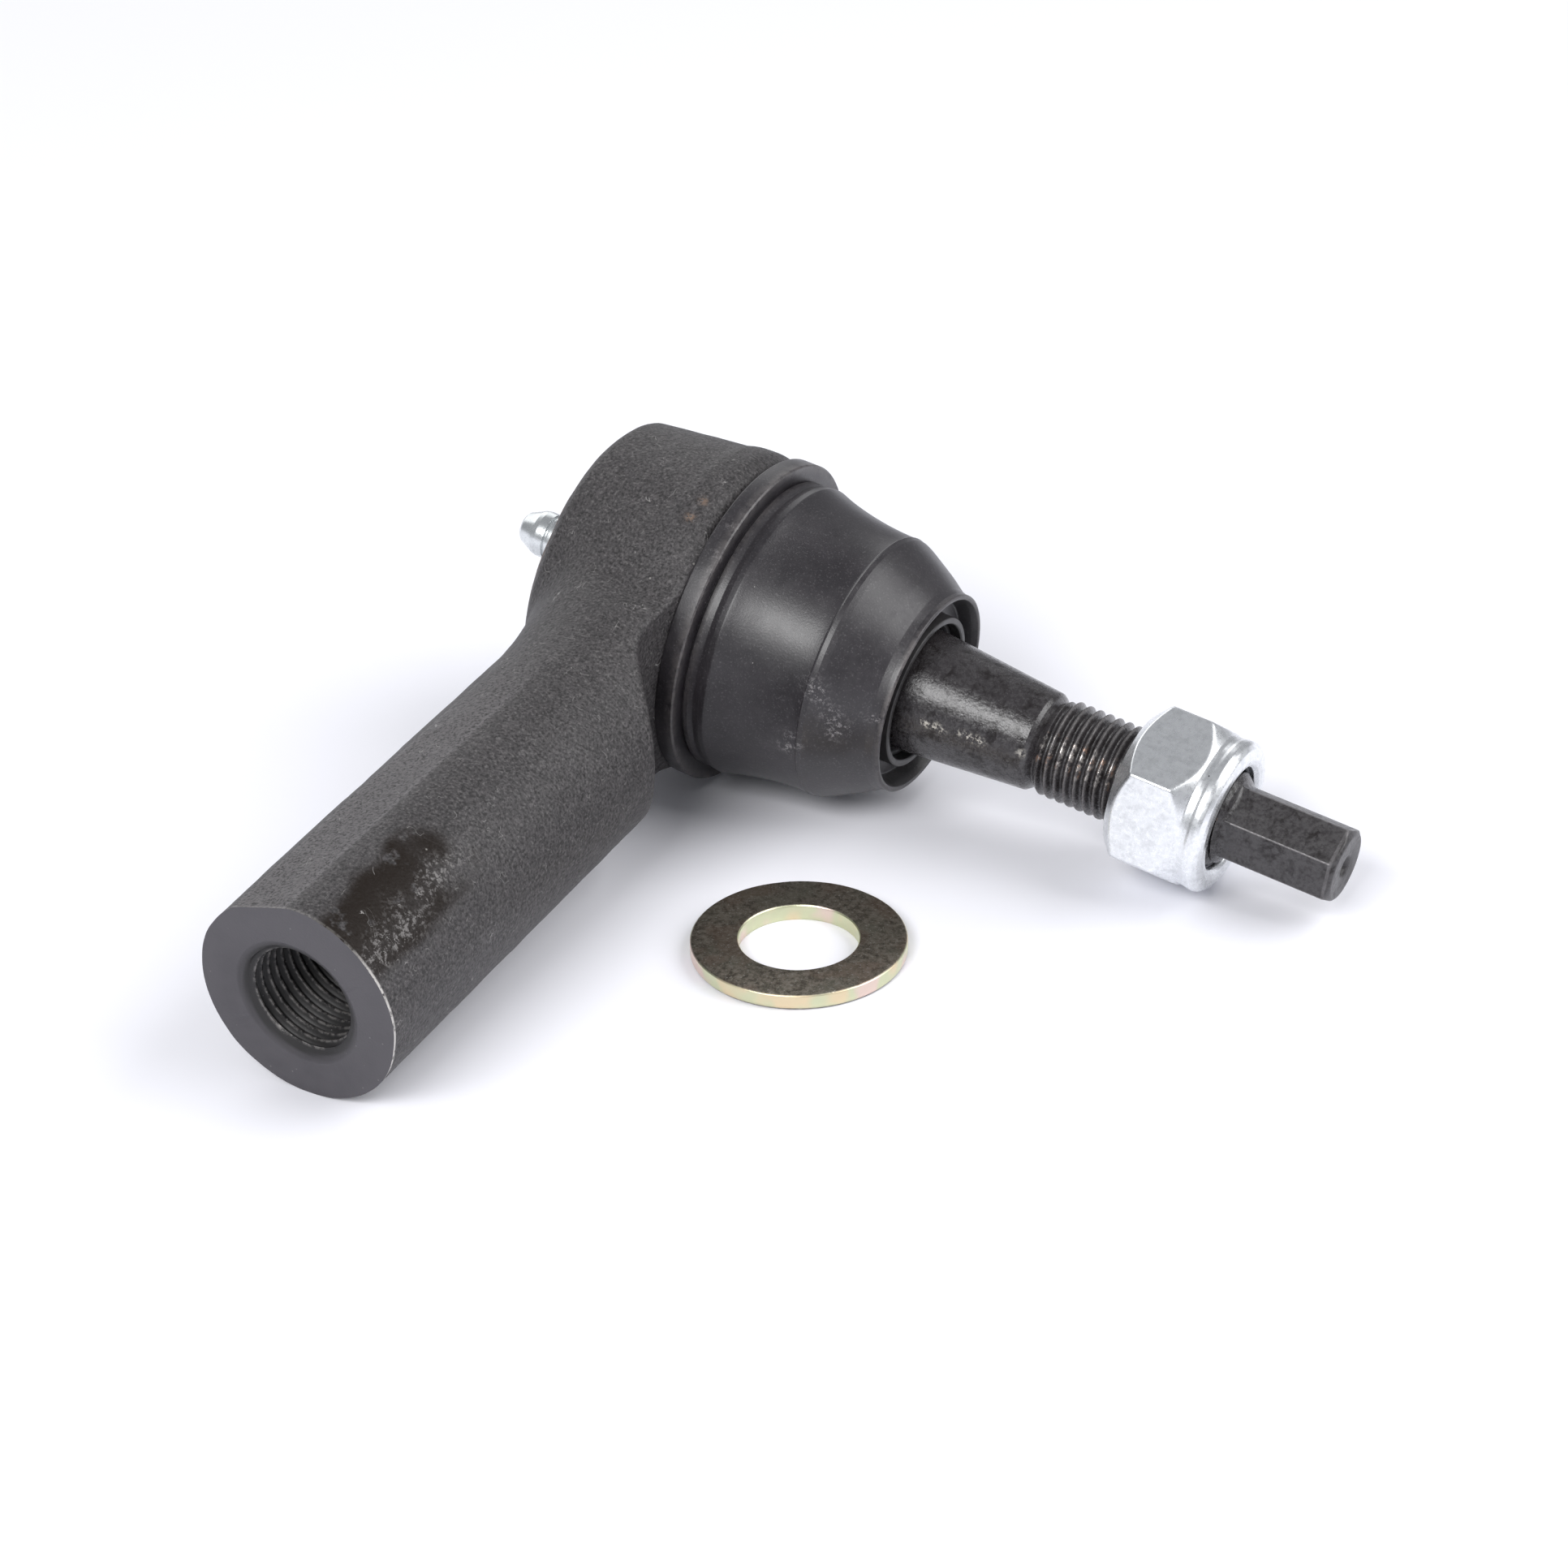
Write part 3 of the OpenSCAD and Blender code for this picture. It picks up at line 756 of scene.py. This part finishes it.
def mark_housing(thing):
    """Where the forging is stained, dusty, worn or rusty, with a painted highlight on the arm's facet and along
    its ridge lines, and painted shade inside its bore.
    """
    p = points_of(thing.data)
    x, y, z = p.T
    angle = np.degrees(np.arctan2(z, x + arm_offset))
    reach = np.hypot(x + arm_offset, z)
    r = np.hypot(y, z)
    wobble = noise(p, 4, 8)
    halo = np.exp(-((angle - 46 + 0.4 * (arm_end - y) + 5 * wobble) / 9) ** 2) * smooth_step(-y, 72, 86)
    mask(thing, "dust", np.clip(halo * 1.2, 0, 1))
    band = smooth_step(angle + 5 * wobble, 34, 42) * (1 - smooth_step(angle + 6 * wobble, 78, 88))
    on_arm = smooth_step(-y + 4 * wobble, 77, 83)
    mask(thing, "stain", band * on_arm * (1 - 0.25 * halo))
    # Painted highlight: the arm's upper facet is painted lighter, with a bright line along each of its two ridge
    # lines.
    facet = 0.6 * smooth_step(angle, 97, 100) * (1 - smooth_step(angle, 129, 133))
    painted_ridge_highlights = 0.75 * (np.exp(-((angle - 98.5) / 1.0) ** 2) + np.exp(-((angle - 131) / 1.0) ** 2))
    mask(thing, "painted_facet_highlight", np.clip(facet + painted_ridge_highlights, 0, 1) * smooth_step(-y, 30, 60))
    right = smooth_step(angle, -26, -12) * (1 - smooth_step(angle, 30, 66))
    mask(thing, "wear", 0.12 + 0.88 * right)
    rear = (x < -20.2) & (r > 18)
    spot = np.zeros(len(p))
    for centre in ((-20, 15.5, 14.5), (-19.6, 11, 18), (-1.5, -9.5, 21), (-1.2, -6.5, 21.9)):
        spot += 0.9 * np.exp(-((p - centre) ** 2).sum(1) / 0.35)
    mask(thing, "rust", np.clip(spot + 0.35 * rear * (z > -5), 0, 1))
    in_bore = (reach < 9.5) & (y < -50)
    mask(thing, "crest", in_bore & (reach < bore_radius + 0.22))
    # Painted shade: the inside of the bore is painted darker, less so on the chamfer at its mouth.
    chamfer = smooth_step(reach, 8.3, 8.7)
    mask(thing, "painted_bore_shade", in_bore * (1 - 0.65 * chamfer) * (1 - smooth_step(reach, 8.9, 9.4)))


def machined_faces(thing):
    """Which faces belong to the arm's end, its bore and the socket."""
    faces = thing.data.polygons
    centres = np.array([f.center for f in faces])
    normals = np.array([f.normal for f in faces])
    x, y, z = centres.T
    end = (y < arm_end + 0.05) & (normals[:, 1] < -0.9)
    bore = (np.hypot(x + arm_offset, z) < 9.45) & (y < -54)
    outward = normals[:, 1] * y + normals[:, 2] * z
    inside = (np.hypot(y, z) < 18.4) & (y > -20) & (outward < 0.2) & (x > -20.6)
    return end | bore | inside


def build_housing():
    points, quads = forging_blank()
    thing = solid("forging", points, quads)
    carve(thing, [collar()], "UNION")
    carve(thing, [socket_bores(), arm_bore(), end_plane()])
    mark_housing(thing)
    machined = machined_faces(thing)
    finished(thing, "socket", [forged_steel(), machined_steel()], "housing", sharp=38)
    thing.data.polygons.foreach_set("material_index", machined.astype(int))


# ---- stud

TAPER_FOOT = 26
TAPER_END = 51.4
TAPER_R = 9.33
THREAD_START = 52.15
THREAD_END = 80.2
TIP_CORNER = math.radians(85)
NUT_CORNER = math.radians(77.5)


def ball_arc(radius, start, end, steps):
    """Points of a circle about the ball's centre, between two stations."""
    turns = np.linspace(math.acos(start / radius), math.acos(end / radius), steps)
    return [(radius * math.cos(t), radius * math.sin(t)) for t in turns]


def shank_rows(angles):
    """The ball, its neck and the taper, up to the groove before the thread."""
    outline = [(-12.5, 0), (-12.5, 5.1)] + ball_arc(BALL_R, -12.5, 11.6, 48)[1:]
    outline += [(12.3, 6.95), (15, 7.0, 1.5), (20.5, TAPER_R, 2), (TAPER_FOOT, TAPER_R),
                (TAPER_END - 0.35, 7.14, 0.3), (TAPER_END + 0.2, 6.75, 0.2), (THREAD_START, 6.0)]
    return rows(spaced(rounded(outline), 0.6), angles)


def tip_rows(angles):
    """The hexagon for holding the stud, with a fillet at its root, a chamfer and a centre hole."""
    out = []
    hexagon = hexagon_radius(angles, TIP_FLATS, TIP_CORNER, 0.35)
    for x in np.concatenate([np.linspace(80.42, 81.6, 9), np.linspace(82.5, 95.5, 12),
                             np.linspace(95.8, tip_end, 9)]):
        u = min((x - 80.4) / 1.2, 1)
        neck = 5.85 - 1.0 * (1 - (1 - u) ** 2)
        cone = 4.7 + (tip_end - x) * 1.33
        out.append((np.full(len(angles), x), soft_min(soft_max(hexagon, neck, 0.5), cone, 0.12)))
    drill = [(tip_end, 4.3), (tip_end - 0.06, 3.9), (tip_end - 0.06, 1.75), (tip_end - 0.3, 1.45),
             (tip_end - 1.0, 0.85), (tip_end - 1.6, 0.72), (tip_end - 1.9, 0)]
    return rows([(THREAD_END, 6.1), (THREAD_END + 0.1, 6.02)], angles) + out + rows(drill, angles)


def spots(p, places, radius):
    """A soft mask round places on the joint, each given by its station, its reach and its angle."""
    total = np.zeros(len(p))
    for station, reach, degrees in places:
        angle = math.radians(degrees)
        centre = np.array([station, reach * math.cos(angle), reach * math.sin(angle)])
        total += np.exp(-((p - centre) ** 2).sum(1) / radius ** 2)
    return np.clip(total, 0, 1)


def marks(p, places, radius):
    """A soft mask round places on a turned face, each given by its station and its angle."""
    reach = np.hypot(p[:, 1], p[:, 2])
    turn = np.arctan2(p[:, 2], p[:, 1])
    total = np.zeros(len(p))
    for station, degrees in places:
        side = reach * ((turn - math.radians(degrees) + math.pi) % TURN - math.pi)
        total += np.exp(-((p[:, 0] - station) ** 2 + side ** 2) / radius ** 2)
    return np.clip(total, 0, 1)


def mark_stud(thing):
    """Where the stud is bright on its crests, nicked, worn at its edges or dry, and where a painted highlight runs
    along one side of its thread.
    """
    p = points_of(thing.data)
    x, y, z = p.T
    r = np.hypot(y, z)
    angle = np.arctan2(z, y)
    threaded = (x > 52.8) & (x < THREAD_END)
    mask(thing, "crest", threaded * smooth_step(r, 6.6, 6.95))
    degrees = np.degrees(angle) % 360
    # Painted highlight: one side of the thread's crests, the side the lamp catches, is painted bright.
    lit = smooth_step(degrees, 122, 136) * (1 - smooth_step(degrees, 156, 172))
    mask(thing, "painted_glint", threaded * smooth_step(r, 6.35, 6.8) * lit)
    nicks = [(s, 167) for s in (36.4, 37.1, 37.8, 38.5, 39.2)]
    nicks += [(s, 165) for s in (42, 42.8, 43.6, 44.4, 45)]
    nicks += [(50.8, 161)]
    mask(thing, "nicks", marks(p, nicks, 0.5) * (r > 6.9))
    corner = np.abs((angle - TIP_CORNER + TURN / 12) % (TURN / 6) - TURN / 12)
    ridge = (x > 81.5) & (x < tip_end - 0.7) & (corner < math.radians(1.4))
    lip = (np.abs(x - (tip_end - 0.75)) < 0.3) & (r > 4.6)
    mask(thing, "worn", ridge * 0.9 + lip * 0.6)
    mask(thing, "dry", smooth_step(x, 80.4, 82))


def build_stud():
    angles = hexagon_turn(TIP_CORNER)

    def trim(x, radius):
        limit = np.interp(x, [THREAD_START, 52.9, 53.6, 79.2, THREAD_END],
                          [6.0, 6.5, thread_major, thread_major, 6.1])
        return soft_min(radius, limit, 0.05)
    shank = skin(shank_rows(angles), angles)
    screw = thread(THREAD_START, THREAD_END, thread_major, 0.85, trim, angles)
    tip = skin(tip_rows(angles), angles)
    thing = solid("oiled_ball_stud", *joined(shank, screw, tip))
    mark_stud(thing)
    finished(thing, "stud", [oiled_steel()], "ball_stud", sharp=40)


# ---- nut

def nut_rows(angles):
    """The outside of the nut: a chamfered hexagon that runs into the collar that holds the nylon."""
    out = rows([(nut_face, 7.4), (nut_face, 9.6)], angles)
    hexagon = hexagon_radius(angles, NUT_FLATS, NUT_CORNER, 0.6)
    for s in np.concatenate([np.linspace(0.04, 3, 19), np.linspace(3.8, 7, 5), np.linspace(7.4, 10.9, 28)]):
        front = 9.68 + s * 1.12
        back = 11.02 + (10.85 - s) * 0.76
        radius = soft_min(soft_min(hexagon, front, 0.2), back, 0.3)
        out.append((np.full(len(angles), nut_face + s), radius))
    collar_line = [(10.98, 10.9), (11.15, 10.82, 0.3), (11.6, 10.76, 0.4), (12.2, 10.82, 0.4),
                   (12.6, 10.92, 0.3), (13.3, 10.98, 0.6), (13.9, 10.8, 0.5), (14.45, 10.25, 0.5),
                   (14.75, 9.6, 0.4), (14.82, 8.8, 0.4), (14.65, 8.0, 0.5), (14.2, 7.5, 0.4),
                   (13.6, 7.45), (13.6, 9), (NUT_THREAD, 9), (NUT_THREAD, 7.2)]
    line = spaced(rounded(collar_line), 0.8) + np.array([nut_face, 0])
    return out + rows(line, angles)


def build_nut():
    angles = hexagon_turn(NUT_CORNER, 1.45)

    def trim(x, radius):
        opening = np.interp(x - nut_face, [0, 0.6, NUT_THREAD - 0.5, NUT_THREAD], [7.4, 6.8, 6.8, 7.2])
        return soft_max(radius, opening, 0.05)
    outside = skin(nut_rows(angles), angles)
    inside = thread(nut_face, nut_face + NUT_THREAD, thread_major + 0.07, 0.78, trim, angles, samples=10)
    thing = solid("zinc_nut", *joined(outside, inside))
    dented(thing, 0.006, 5, 14)
    finished(thing, "lock_nut", [zinc("zinc_plate")], "nut", sharp=28)


def build_nylon():
    start, end, outer = stations("nylon_insert")
    outline = [(start, 7.04), (start, outer), (end, outer), (end, 7.3, 0.2), (end - 0.3, 7.04, 0.2)]
    thing = turned("nylon_ring", outline)
    look = plain("blue_black_nylon", (0.010, 0.016, 0.034), 0.32)
    finished(thing, "nut_carrier", [look], "nylon_insert")


# ---- boot and its rings

SHOULDER = 22.9
SHOULDER_R = 19.36
ROOT_GRIP = 9.3
MOUTH_GRIP = 28.4
WALL = 1.8


def build_clamp():
    """The flange that holds the boot: a plain band with a flat front that is square to the stud."""
    outline = [(2.62, 21.05), (2.62, 23.35, 0.15), (2.9, 23.62, 0.2), (5.42, 23.65, 0.12),
               (5.65, 23.45, 0.12), (5.65, 21.05)]
    thing = turned("clamp_flange", outline, around=240)
    dented(thing, 0.035, 6, 31)
    p = points_of(thing.data)
    r = np.hypot(p[:, 1], p[:, 2])
    mask(thing, "rim_wear_and_highlight", 0.5 * (p[:, 0] > 5.3) * (r > 23.3))
    mask(thing, "dust", 0.35 + 0.3 * noise(p, 9, 5))
    mask(thing, "scuff", spots(p, [(5, 23.6, a) for a in (112, 124, 131)], 0.8) * 0.7)
    finished(thing, "socket", [rubber("clamp_black")], "boot_clamp_ring")


def bell_line():
    """The boot from its root to the mould line at its shoulder."""
    root = [(5.75, 21), (5.98, 21.28, 0.12), (6.6, 21.28, 0.25), (7.4, 21.1, 0.5), (8.3, 21.34, 0.4),
            (9.2, 21.45, 0.8)]
    flare = [(x, 19.27 + 1.72 * ((22.6 - x) / 12) ** 2) for x in np.linspace(10.6, 22, 16)]
    outer = root + flare
    outer += [(22.75, 19.3, 0.05), (SHOULDER, SHOULDER_R)]
    inner = [(SHOULDER, 19.3 - WALL), (19, 19.45 - WALL, 2), (16, 19.8 - WALL, 2), (13, 20.35 - WALL, 0.5),
             (11.2, 19, 0.3), (10.8, 19.25), (2.64, 19.25), (2.64, 21)]
    return outer + inner


def cone_line():
    """The boot from the mould line to its mouth, with the flared lip and the seat of the mouth ring."""
    outer = [(SHOULDER, SHOULDER_R), (23.02, 19.26, 0.05), (23.7, 19.16, 0.4), (24.5, 18.8, 0.8),
             (29, 16.4, 4), (31.2, 14.98, 0.5), (32.3, 14.68, 0.5), (33.05, 14.68, 0.2), (33.2, 14.35, 0.15)]
    mouth = [(33.1, 13.95, 0.2), (32.2, 13.6, 0.5), (30.4, 13.0, 0.3), (30.4, 11.15), (28.6, 11.15),
             (28.6, 12.9, 0.4)]
    inner = [(29, 16.4 - WALL, 0.6), (24.2, 18.95 - WALL, 0.8), (SHOULDER, 19.3 - WALL)]
    return outer + mouth + inner


def mark_boot(thing):
    """Where the boot is dusty, scuffed or worn at its lip, with a painted highlight on the lip's lit side and
    along the ridge at its root.
    """
    p = points_of(thing.data)
    x, y, z = p.T
    r = np.hypot(y, z)
    angle = np.degrees(np.arctan2(z, y)) % 360
    upper = [(29, 16.4, 110), (31, 15, 117), (27, 17.6, 104)]
    lower = [(20, 19.4, 186)]
    mask(thing, "dust", np.clip(0.25 + spots(p, upper, 3.5) + spots(p, lower, 6) * 0.5, 0, 1))
    scuffs = [(22.4, 19.3, 182), (21.6, 19.3, 187), (28.2, 16.6, 171), (27.4, 17, 174),
              (26.6, 17.3, 165), (23.4, 19.2, 155), (24.6, 18.7, 158)]
    streak = [(s, 14.9, 163) for s in (30, 30.8, 31.6, 32.4)]
    mask(thing, "scuff", np.clip(spots(p, scuffs, 1.3) * 0.8 + spots(p, streak, 0.5), 0, 1))
    lip = (x > 32.9) & (r > 13.9)
    # Painted highlight: the lip is brighter on its lit side, and a thin bright line is painted along the ridge at
    # the root.
    lit = smooth_step(angle, 100, 130) * (1 - smooth_step(angle, 150, 185))
    root = np.exp(-((x - 6.3) / 0.3) ** 2) * (r > 21.1)
    mask(thing, "rim_wear_and_highlight", np.clip(lip * (0.25 + 0.6 * lit) + 0.5 * root, 0, 1))


def build_boot():
    """The boot in two pieces, one on each side of its mould line."""
    skin_look = rubber()
    for name, line, bodies, ends, seed in (
            ("boot_bell", bell_line(), ("socket", "boot"), (ROOT_GRIP, SHOULDER), 51),
            ("boot_cone", cone_line(), ("boot", "boot_mouth"), (SHOULDER, MOUTH_GRIP), 52)):
        thing = turned(name, line, around=240, gap=0.9)
        soften(thing, seed)
        mark_boot(thing)
        finished(thing, None, [skin_look], "dust_boot", sharp=42)
        start, end = (LAY @ Vector((s, 0, 0)) for s in ends)
        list(bodies)
        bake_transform(thing)


def soften(thing, seed):
    """Slight unevenness of moulded rubber, none at the root and the mould line where pieces meet."""
    mesh = thing.data
    p = points_of(mesh)
    x, y, z = p.T
    r = np.hypot(y, z)
    free = smooth_step(x, 9.5, 13) * smooth_step(np.abs(x - SHOULDER), 0.3, 2.5)
    free *= (1 - smooth_step(x, 28, 28.5)) * (r > 16)
    push = 1 + free * 0.06 * noise(p, 9, seed) / r
    mesh.vertices.foreach_set("co", np.stack([x, y * push, z * push], -1).ravel())
    mesh.update()


def build_mouth():
    """The steel ring and the seal lip in the boot's mouth."""
    ring = [(28.7, 10.1), (28.7, 11.1, 0.15), (32.55, 11.1, 0.25), (32.65, 10.9, 0.15), (32.65, 10.3, 0.2),
            (32.45, 10.12, 0.15)]
    lip = [(29, 9.27, 0.1), (29, 10.05, 0.1), (31, 10.05, 0.15), (31, 9.5, 0.15), (30.4, 8.98, 0.15),
           (30, 9.04, 0.15)]
    black = plain("ring_black", (0.038, 0.036, 0.037), 0.36)
    soft = plain("lip_rubber", (0.02, 0.019, 0.02), 0.42)
    finished(turned("mouth_ring", ring), "boot_mouth", [black], "boot_mouth_ring")
    finished(turned("seal_lip", lip), "boot_mouth", [soft], "boot_seal_lip")


# ---- washer, rear cover and grease fitting

def build_washer():
    """The loose washer, punched and plated, lying flat beside the joint."""
    low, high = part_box("washer")
    centre = (low + high) / 2
    outer = (high.x - low.x) / 2 / MM
    inner = 8.1
    height = (high.z - low.z) / MM
    outline = [(0, inner + 0.1, 0.12), (0, outer - 0.35, 0.35), (0.5, outer, 0.4),
               (height - 0.25, outer, 0.22), (height, outer - 0.25, 0.2), (height, inner + 0.2, 0.2),
               (height - 0.25, inner, 0.2), (0.3, inner, 0.2)]
    line = spaced(rounded(outline, closed=True), 0.5, True)
    angles = even_turn(240)
    points, faces = skin(rows(line, angles), angles, True)
    points = points[:, [1, 2, 0]]
    top = points[:, 2] > height - 0.1
    points[:, 2] -= top * np.clip(0.03 + 0.03 * noise(points, 3, 77), 0, 0.06)
    thing = solid("plated_washer", points, faces)
    p = points_of(thing.data)
    r = np.hypot(p[:, 0], p[:, 1])
    mask(thing, "edge", (r > outer - 0.18) | (r < inner + 0.14))
    spot = LIFT @ (Matrix.Translation((centre.x, centre.y, low.z)) @ Matrix.Scale(MM, 4))
    thing.data.transform(spot)
    finished(thing, "loose_washer", [yellow_zinc()], "washer")


def build_rear_cover():
    outline = [(-17.03, 12.5), (-17.03, 18.1, 0.15), (-18.79, 18.1, 0.15), (-18.79, 14.6, 0.8),
               (-21.9, 10.1, 1.5), (-22.2, 6.6, 0.4), (-24.59, 6, 0.4), (-24.59, 3.02), (-19.6, 3.02),
               (-19.6, 8.6, 0.3)]
    thing = turned("cover_plate", outline)
    dented(thing, 0.015, 4, 61)
    finished(thing, "socket",
             [plain("cover_black", (0.05, 0.047, 0.044), 0.5, grain=0.04)], "rear_cover")


def build_fitting():
    """Grease nipple: a hexagon, a turned body, a thin groove and a cone-shaped head with a flat tip."""
    angles = even_turn(144)
    hexagon = hexagon_radius(angles, FITTING_FLATS, TURN / 12, 0.2)
    base = rows([(-19.72, 1.1), (-19.72, 2.94), (-24.61, 2.94)], angles)
    flats = [(np.full(len(angles), x), soft_min(hexagon, 4.75 - max(-26.55 - x, 0) * 1.3, 0.08))
             for x in np.linspace(-24.63, -27.3, 12)]
    head = [(-27.5, 3.45, 0.05), (-27.6, 3.34, 0.05), (-28.38, 3.34, 0.06), (-28.5, 3.06, 0.06),
            (-28.7, 3.06, 0.06), (-28.84, 3.36, 0.08), (-30.2, 3.38, 0.6), (-30.9, 3.24, 0.6),
            (-33.05, 2.22, 0.25), (-33.4, 1.85, 0.15), (-33.4, 0.8), (-32.8, 0.76), (-32.5, 1.1)]
    head = rows(spaced(rounded(head), 0.5), angles)
    thing = solid("grease_nipple", *skin(base + flats + head, angles, closed=True))
    finished(thing, "socket", [zinc("fitting_zinc", tone=(0.76, 0.79, 0.80), rough=0.33)],
             "grease_fitting", sharp=30)


INNER_LOOKS = {
    "front_race": ("race_plastic", (0.55, 0.53, 0.47), 0.45, 0.0),
    "rear_seat": ("seat_plastic", (0.20, 0.20, 0.21), 0.45, 0.0),
    "preload_spring": ("spring_blue", (0.16, 0.17, 0.21), 0.3, 0.9),
    "spring_shim": ("shim_grey", (0.35, 0.35, 0.36), 0.3, 0.9),
    "cover_seal": ("seal_black", (0.02, 0.02, 0.02), 0.5, 0.0),
    "fitting_ball": ("ball_bright", (0.6, 0.6, 0.62), 0.15, 1.0),
    "fitting_spring": ("wire_grey", (0.4, 0.4, 0.42), 0.25, 1.0),
    "fitting_retainer": ("retainer_brass", (0.62, 0.45, 0.2), 0.3, 0.9),
}


def dress_inner_parts():
    """New looks on the parts inside, which keep their CAD shapes."""
    for node, (name, color, rough, metallic) in INNER_LOOKS.items():
        look = plain(name, color, rough, metallic, drawn=False)
        mesh = frame["nodes"][node].data
        mesh.materials.clear()
        mesh.materials.append(look)


# ---- floor, lights and camera

def build_floor():
    """The plain pale floor that the part lies on."""
    mesh = bpy.data.meshes.new("pale_floor")
    half = 4.0
    corners = [(-half, -half, 0), (half, -half, 0), (half, half, 0), (-half, half, 0)]
    mesh.from_pydata(corners, [], [(0, 1, 2, 3)])
    floor = bpy.data.objects.new("pale_floor", mesh)
    bpy.context.scene.collection.objects.link(floor)
    material = bpy.data.materials.new("pale_floor")
    material.use_nodes = True
    shader = material.node_tree.nodes["Principled BSDF"]
    shader.inputs["Base Color"].default_value = (0.92, 0.92, 0.97, 1)
    shader.inputs["Roughness"].default_value = 0.9
    shader.inputs["Specular IOR Level"].default_value = 0.1
    mesh.materials.append(material)


def softbox(name, azimuth, elevation, distance, size, power):
    """A rectangular lamp aimed at the part from a direction round it."""
    lamp = bpy.data.lights.new(name, "AREA")
    lamp.shape = "RECTANGLE"
    lamp.size, lamp.size_y = size
    lamp.energy = power
    thing = bpy.data.objects.new(name, lamp)
    a, e = math.radians(azimuth), math.radians(elevation)
    out = Vector((math.cos(a) * math.cos(e), math.sin(a) * math.cos(e), math.sin(e)))
    thing.location = out * distance
    thing.rotation_euler = out.to_track_quat("Z", "Y").to_euler()
    bpy.context.scene.collection.objects.link(thing)


def build_lights():
    """A pale sky and three soft lamps."""
    world = bpy.data.worlds.new("studio")
    world.use_nodes = True
    sky = world.node_tree.nodes["Background"]
    sky.inputs["Color"].default_value = (0.93, 0.95, 1.0, 1)
    sky.inputs["Strength"].default_value = 0.32
    bpy.context.scene.world = world
    softbox("front_left", -91, 42, 1.0, (0.56, 0.38), 7.3)
    softbox("right", 22, 42, 1.1, (0.9, 0.9), 9.0)
    softbox("back_left", 142, 28, 1.2, (1.4, 0.8), 4.6)


def build_camera():
    """The camera, above the arm's side of the joint and turned towards the stud."""
    data = bpy.data.cameras.new("camera")
    data.sensor_width = 36
    data.lens = 104.9
    azimuth, elevation, roll = math.radians(30.11), math.radians(30.01), math.radians(-1.12)
    distance = 0.65108
    aim = Vector((ball_centre.x + 0.01072, ball_centre.y - 0.002864, 0))
    back = Vector((math.sin(azimuth) * math.cos(elevation), -math.cos(azimuth) * math.cos(elevation),
                   math.sin(elevation)))
    right = Vector((math.cos(azimuth), math.sin(azimuth), 0))
    up = back.cross(right)
    c, s = math.cos(roll), math.sin(roll)
    turn = Matrix((right * c + up * s, up * c - right * s, back)).transposed().to_4x4()
    camera = bpy.data.objects.new("camera", data)
    camera.matrix_world = Matrix.Translation(aim + back * distance) @ turn
    bpy.context.scene.collection.objects.link(camera)
    bpy.context.scene.camera = camera


for build in (build_camera, build_floor, build_lights, build_housing, build_stud, build_nut, build_nylon,
              build_clamp, build_boot, build_mouth, build_washer, build_rear_cover, build_fitting,
              dress_inner_parts):
    build()
bpy.context.scene.view_settings.view_transform = "Standard"

bpy.context.view_layer.update()
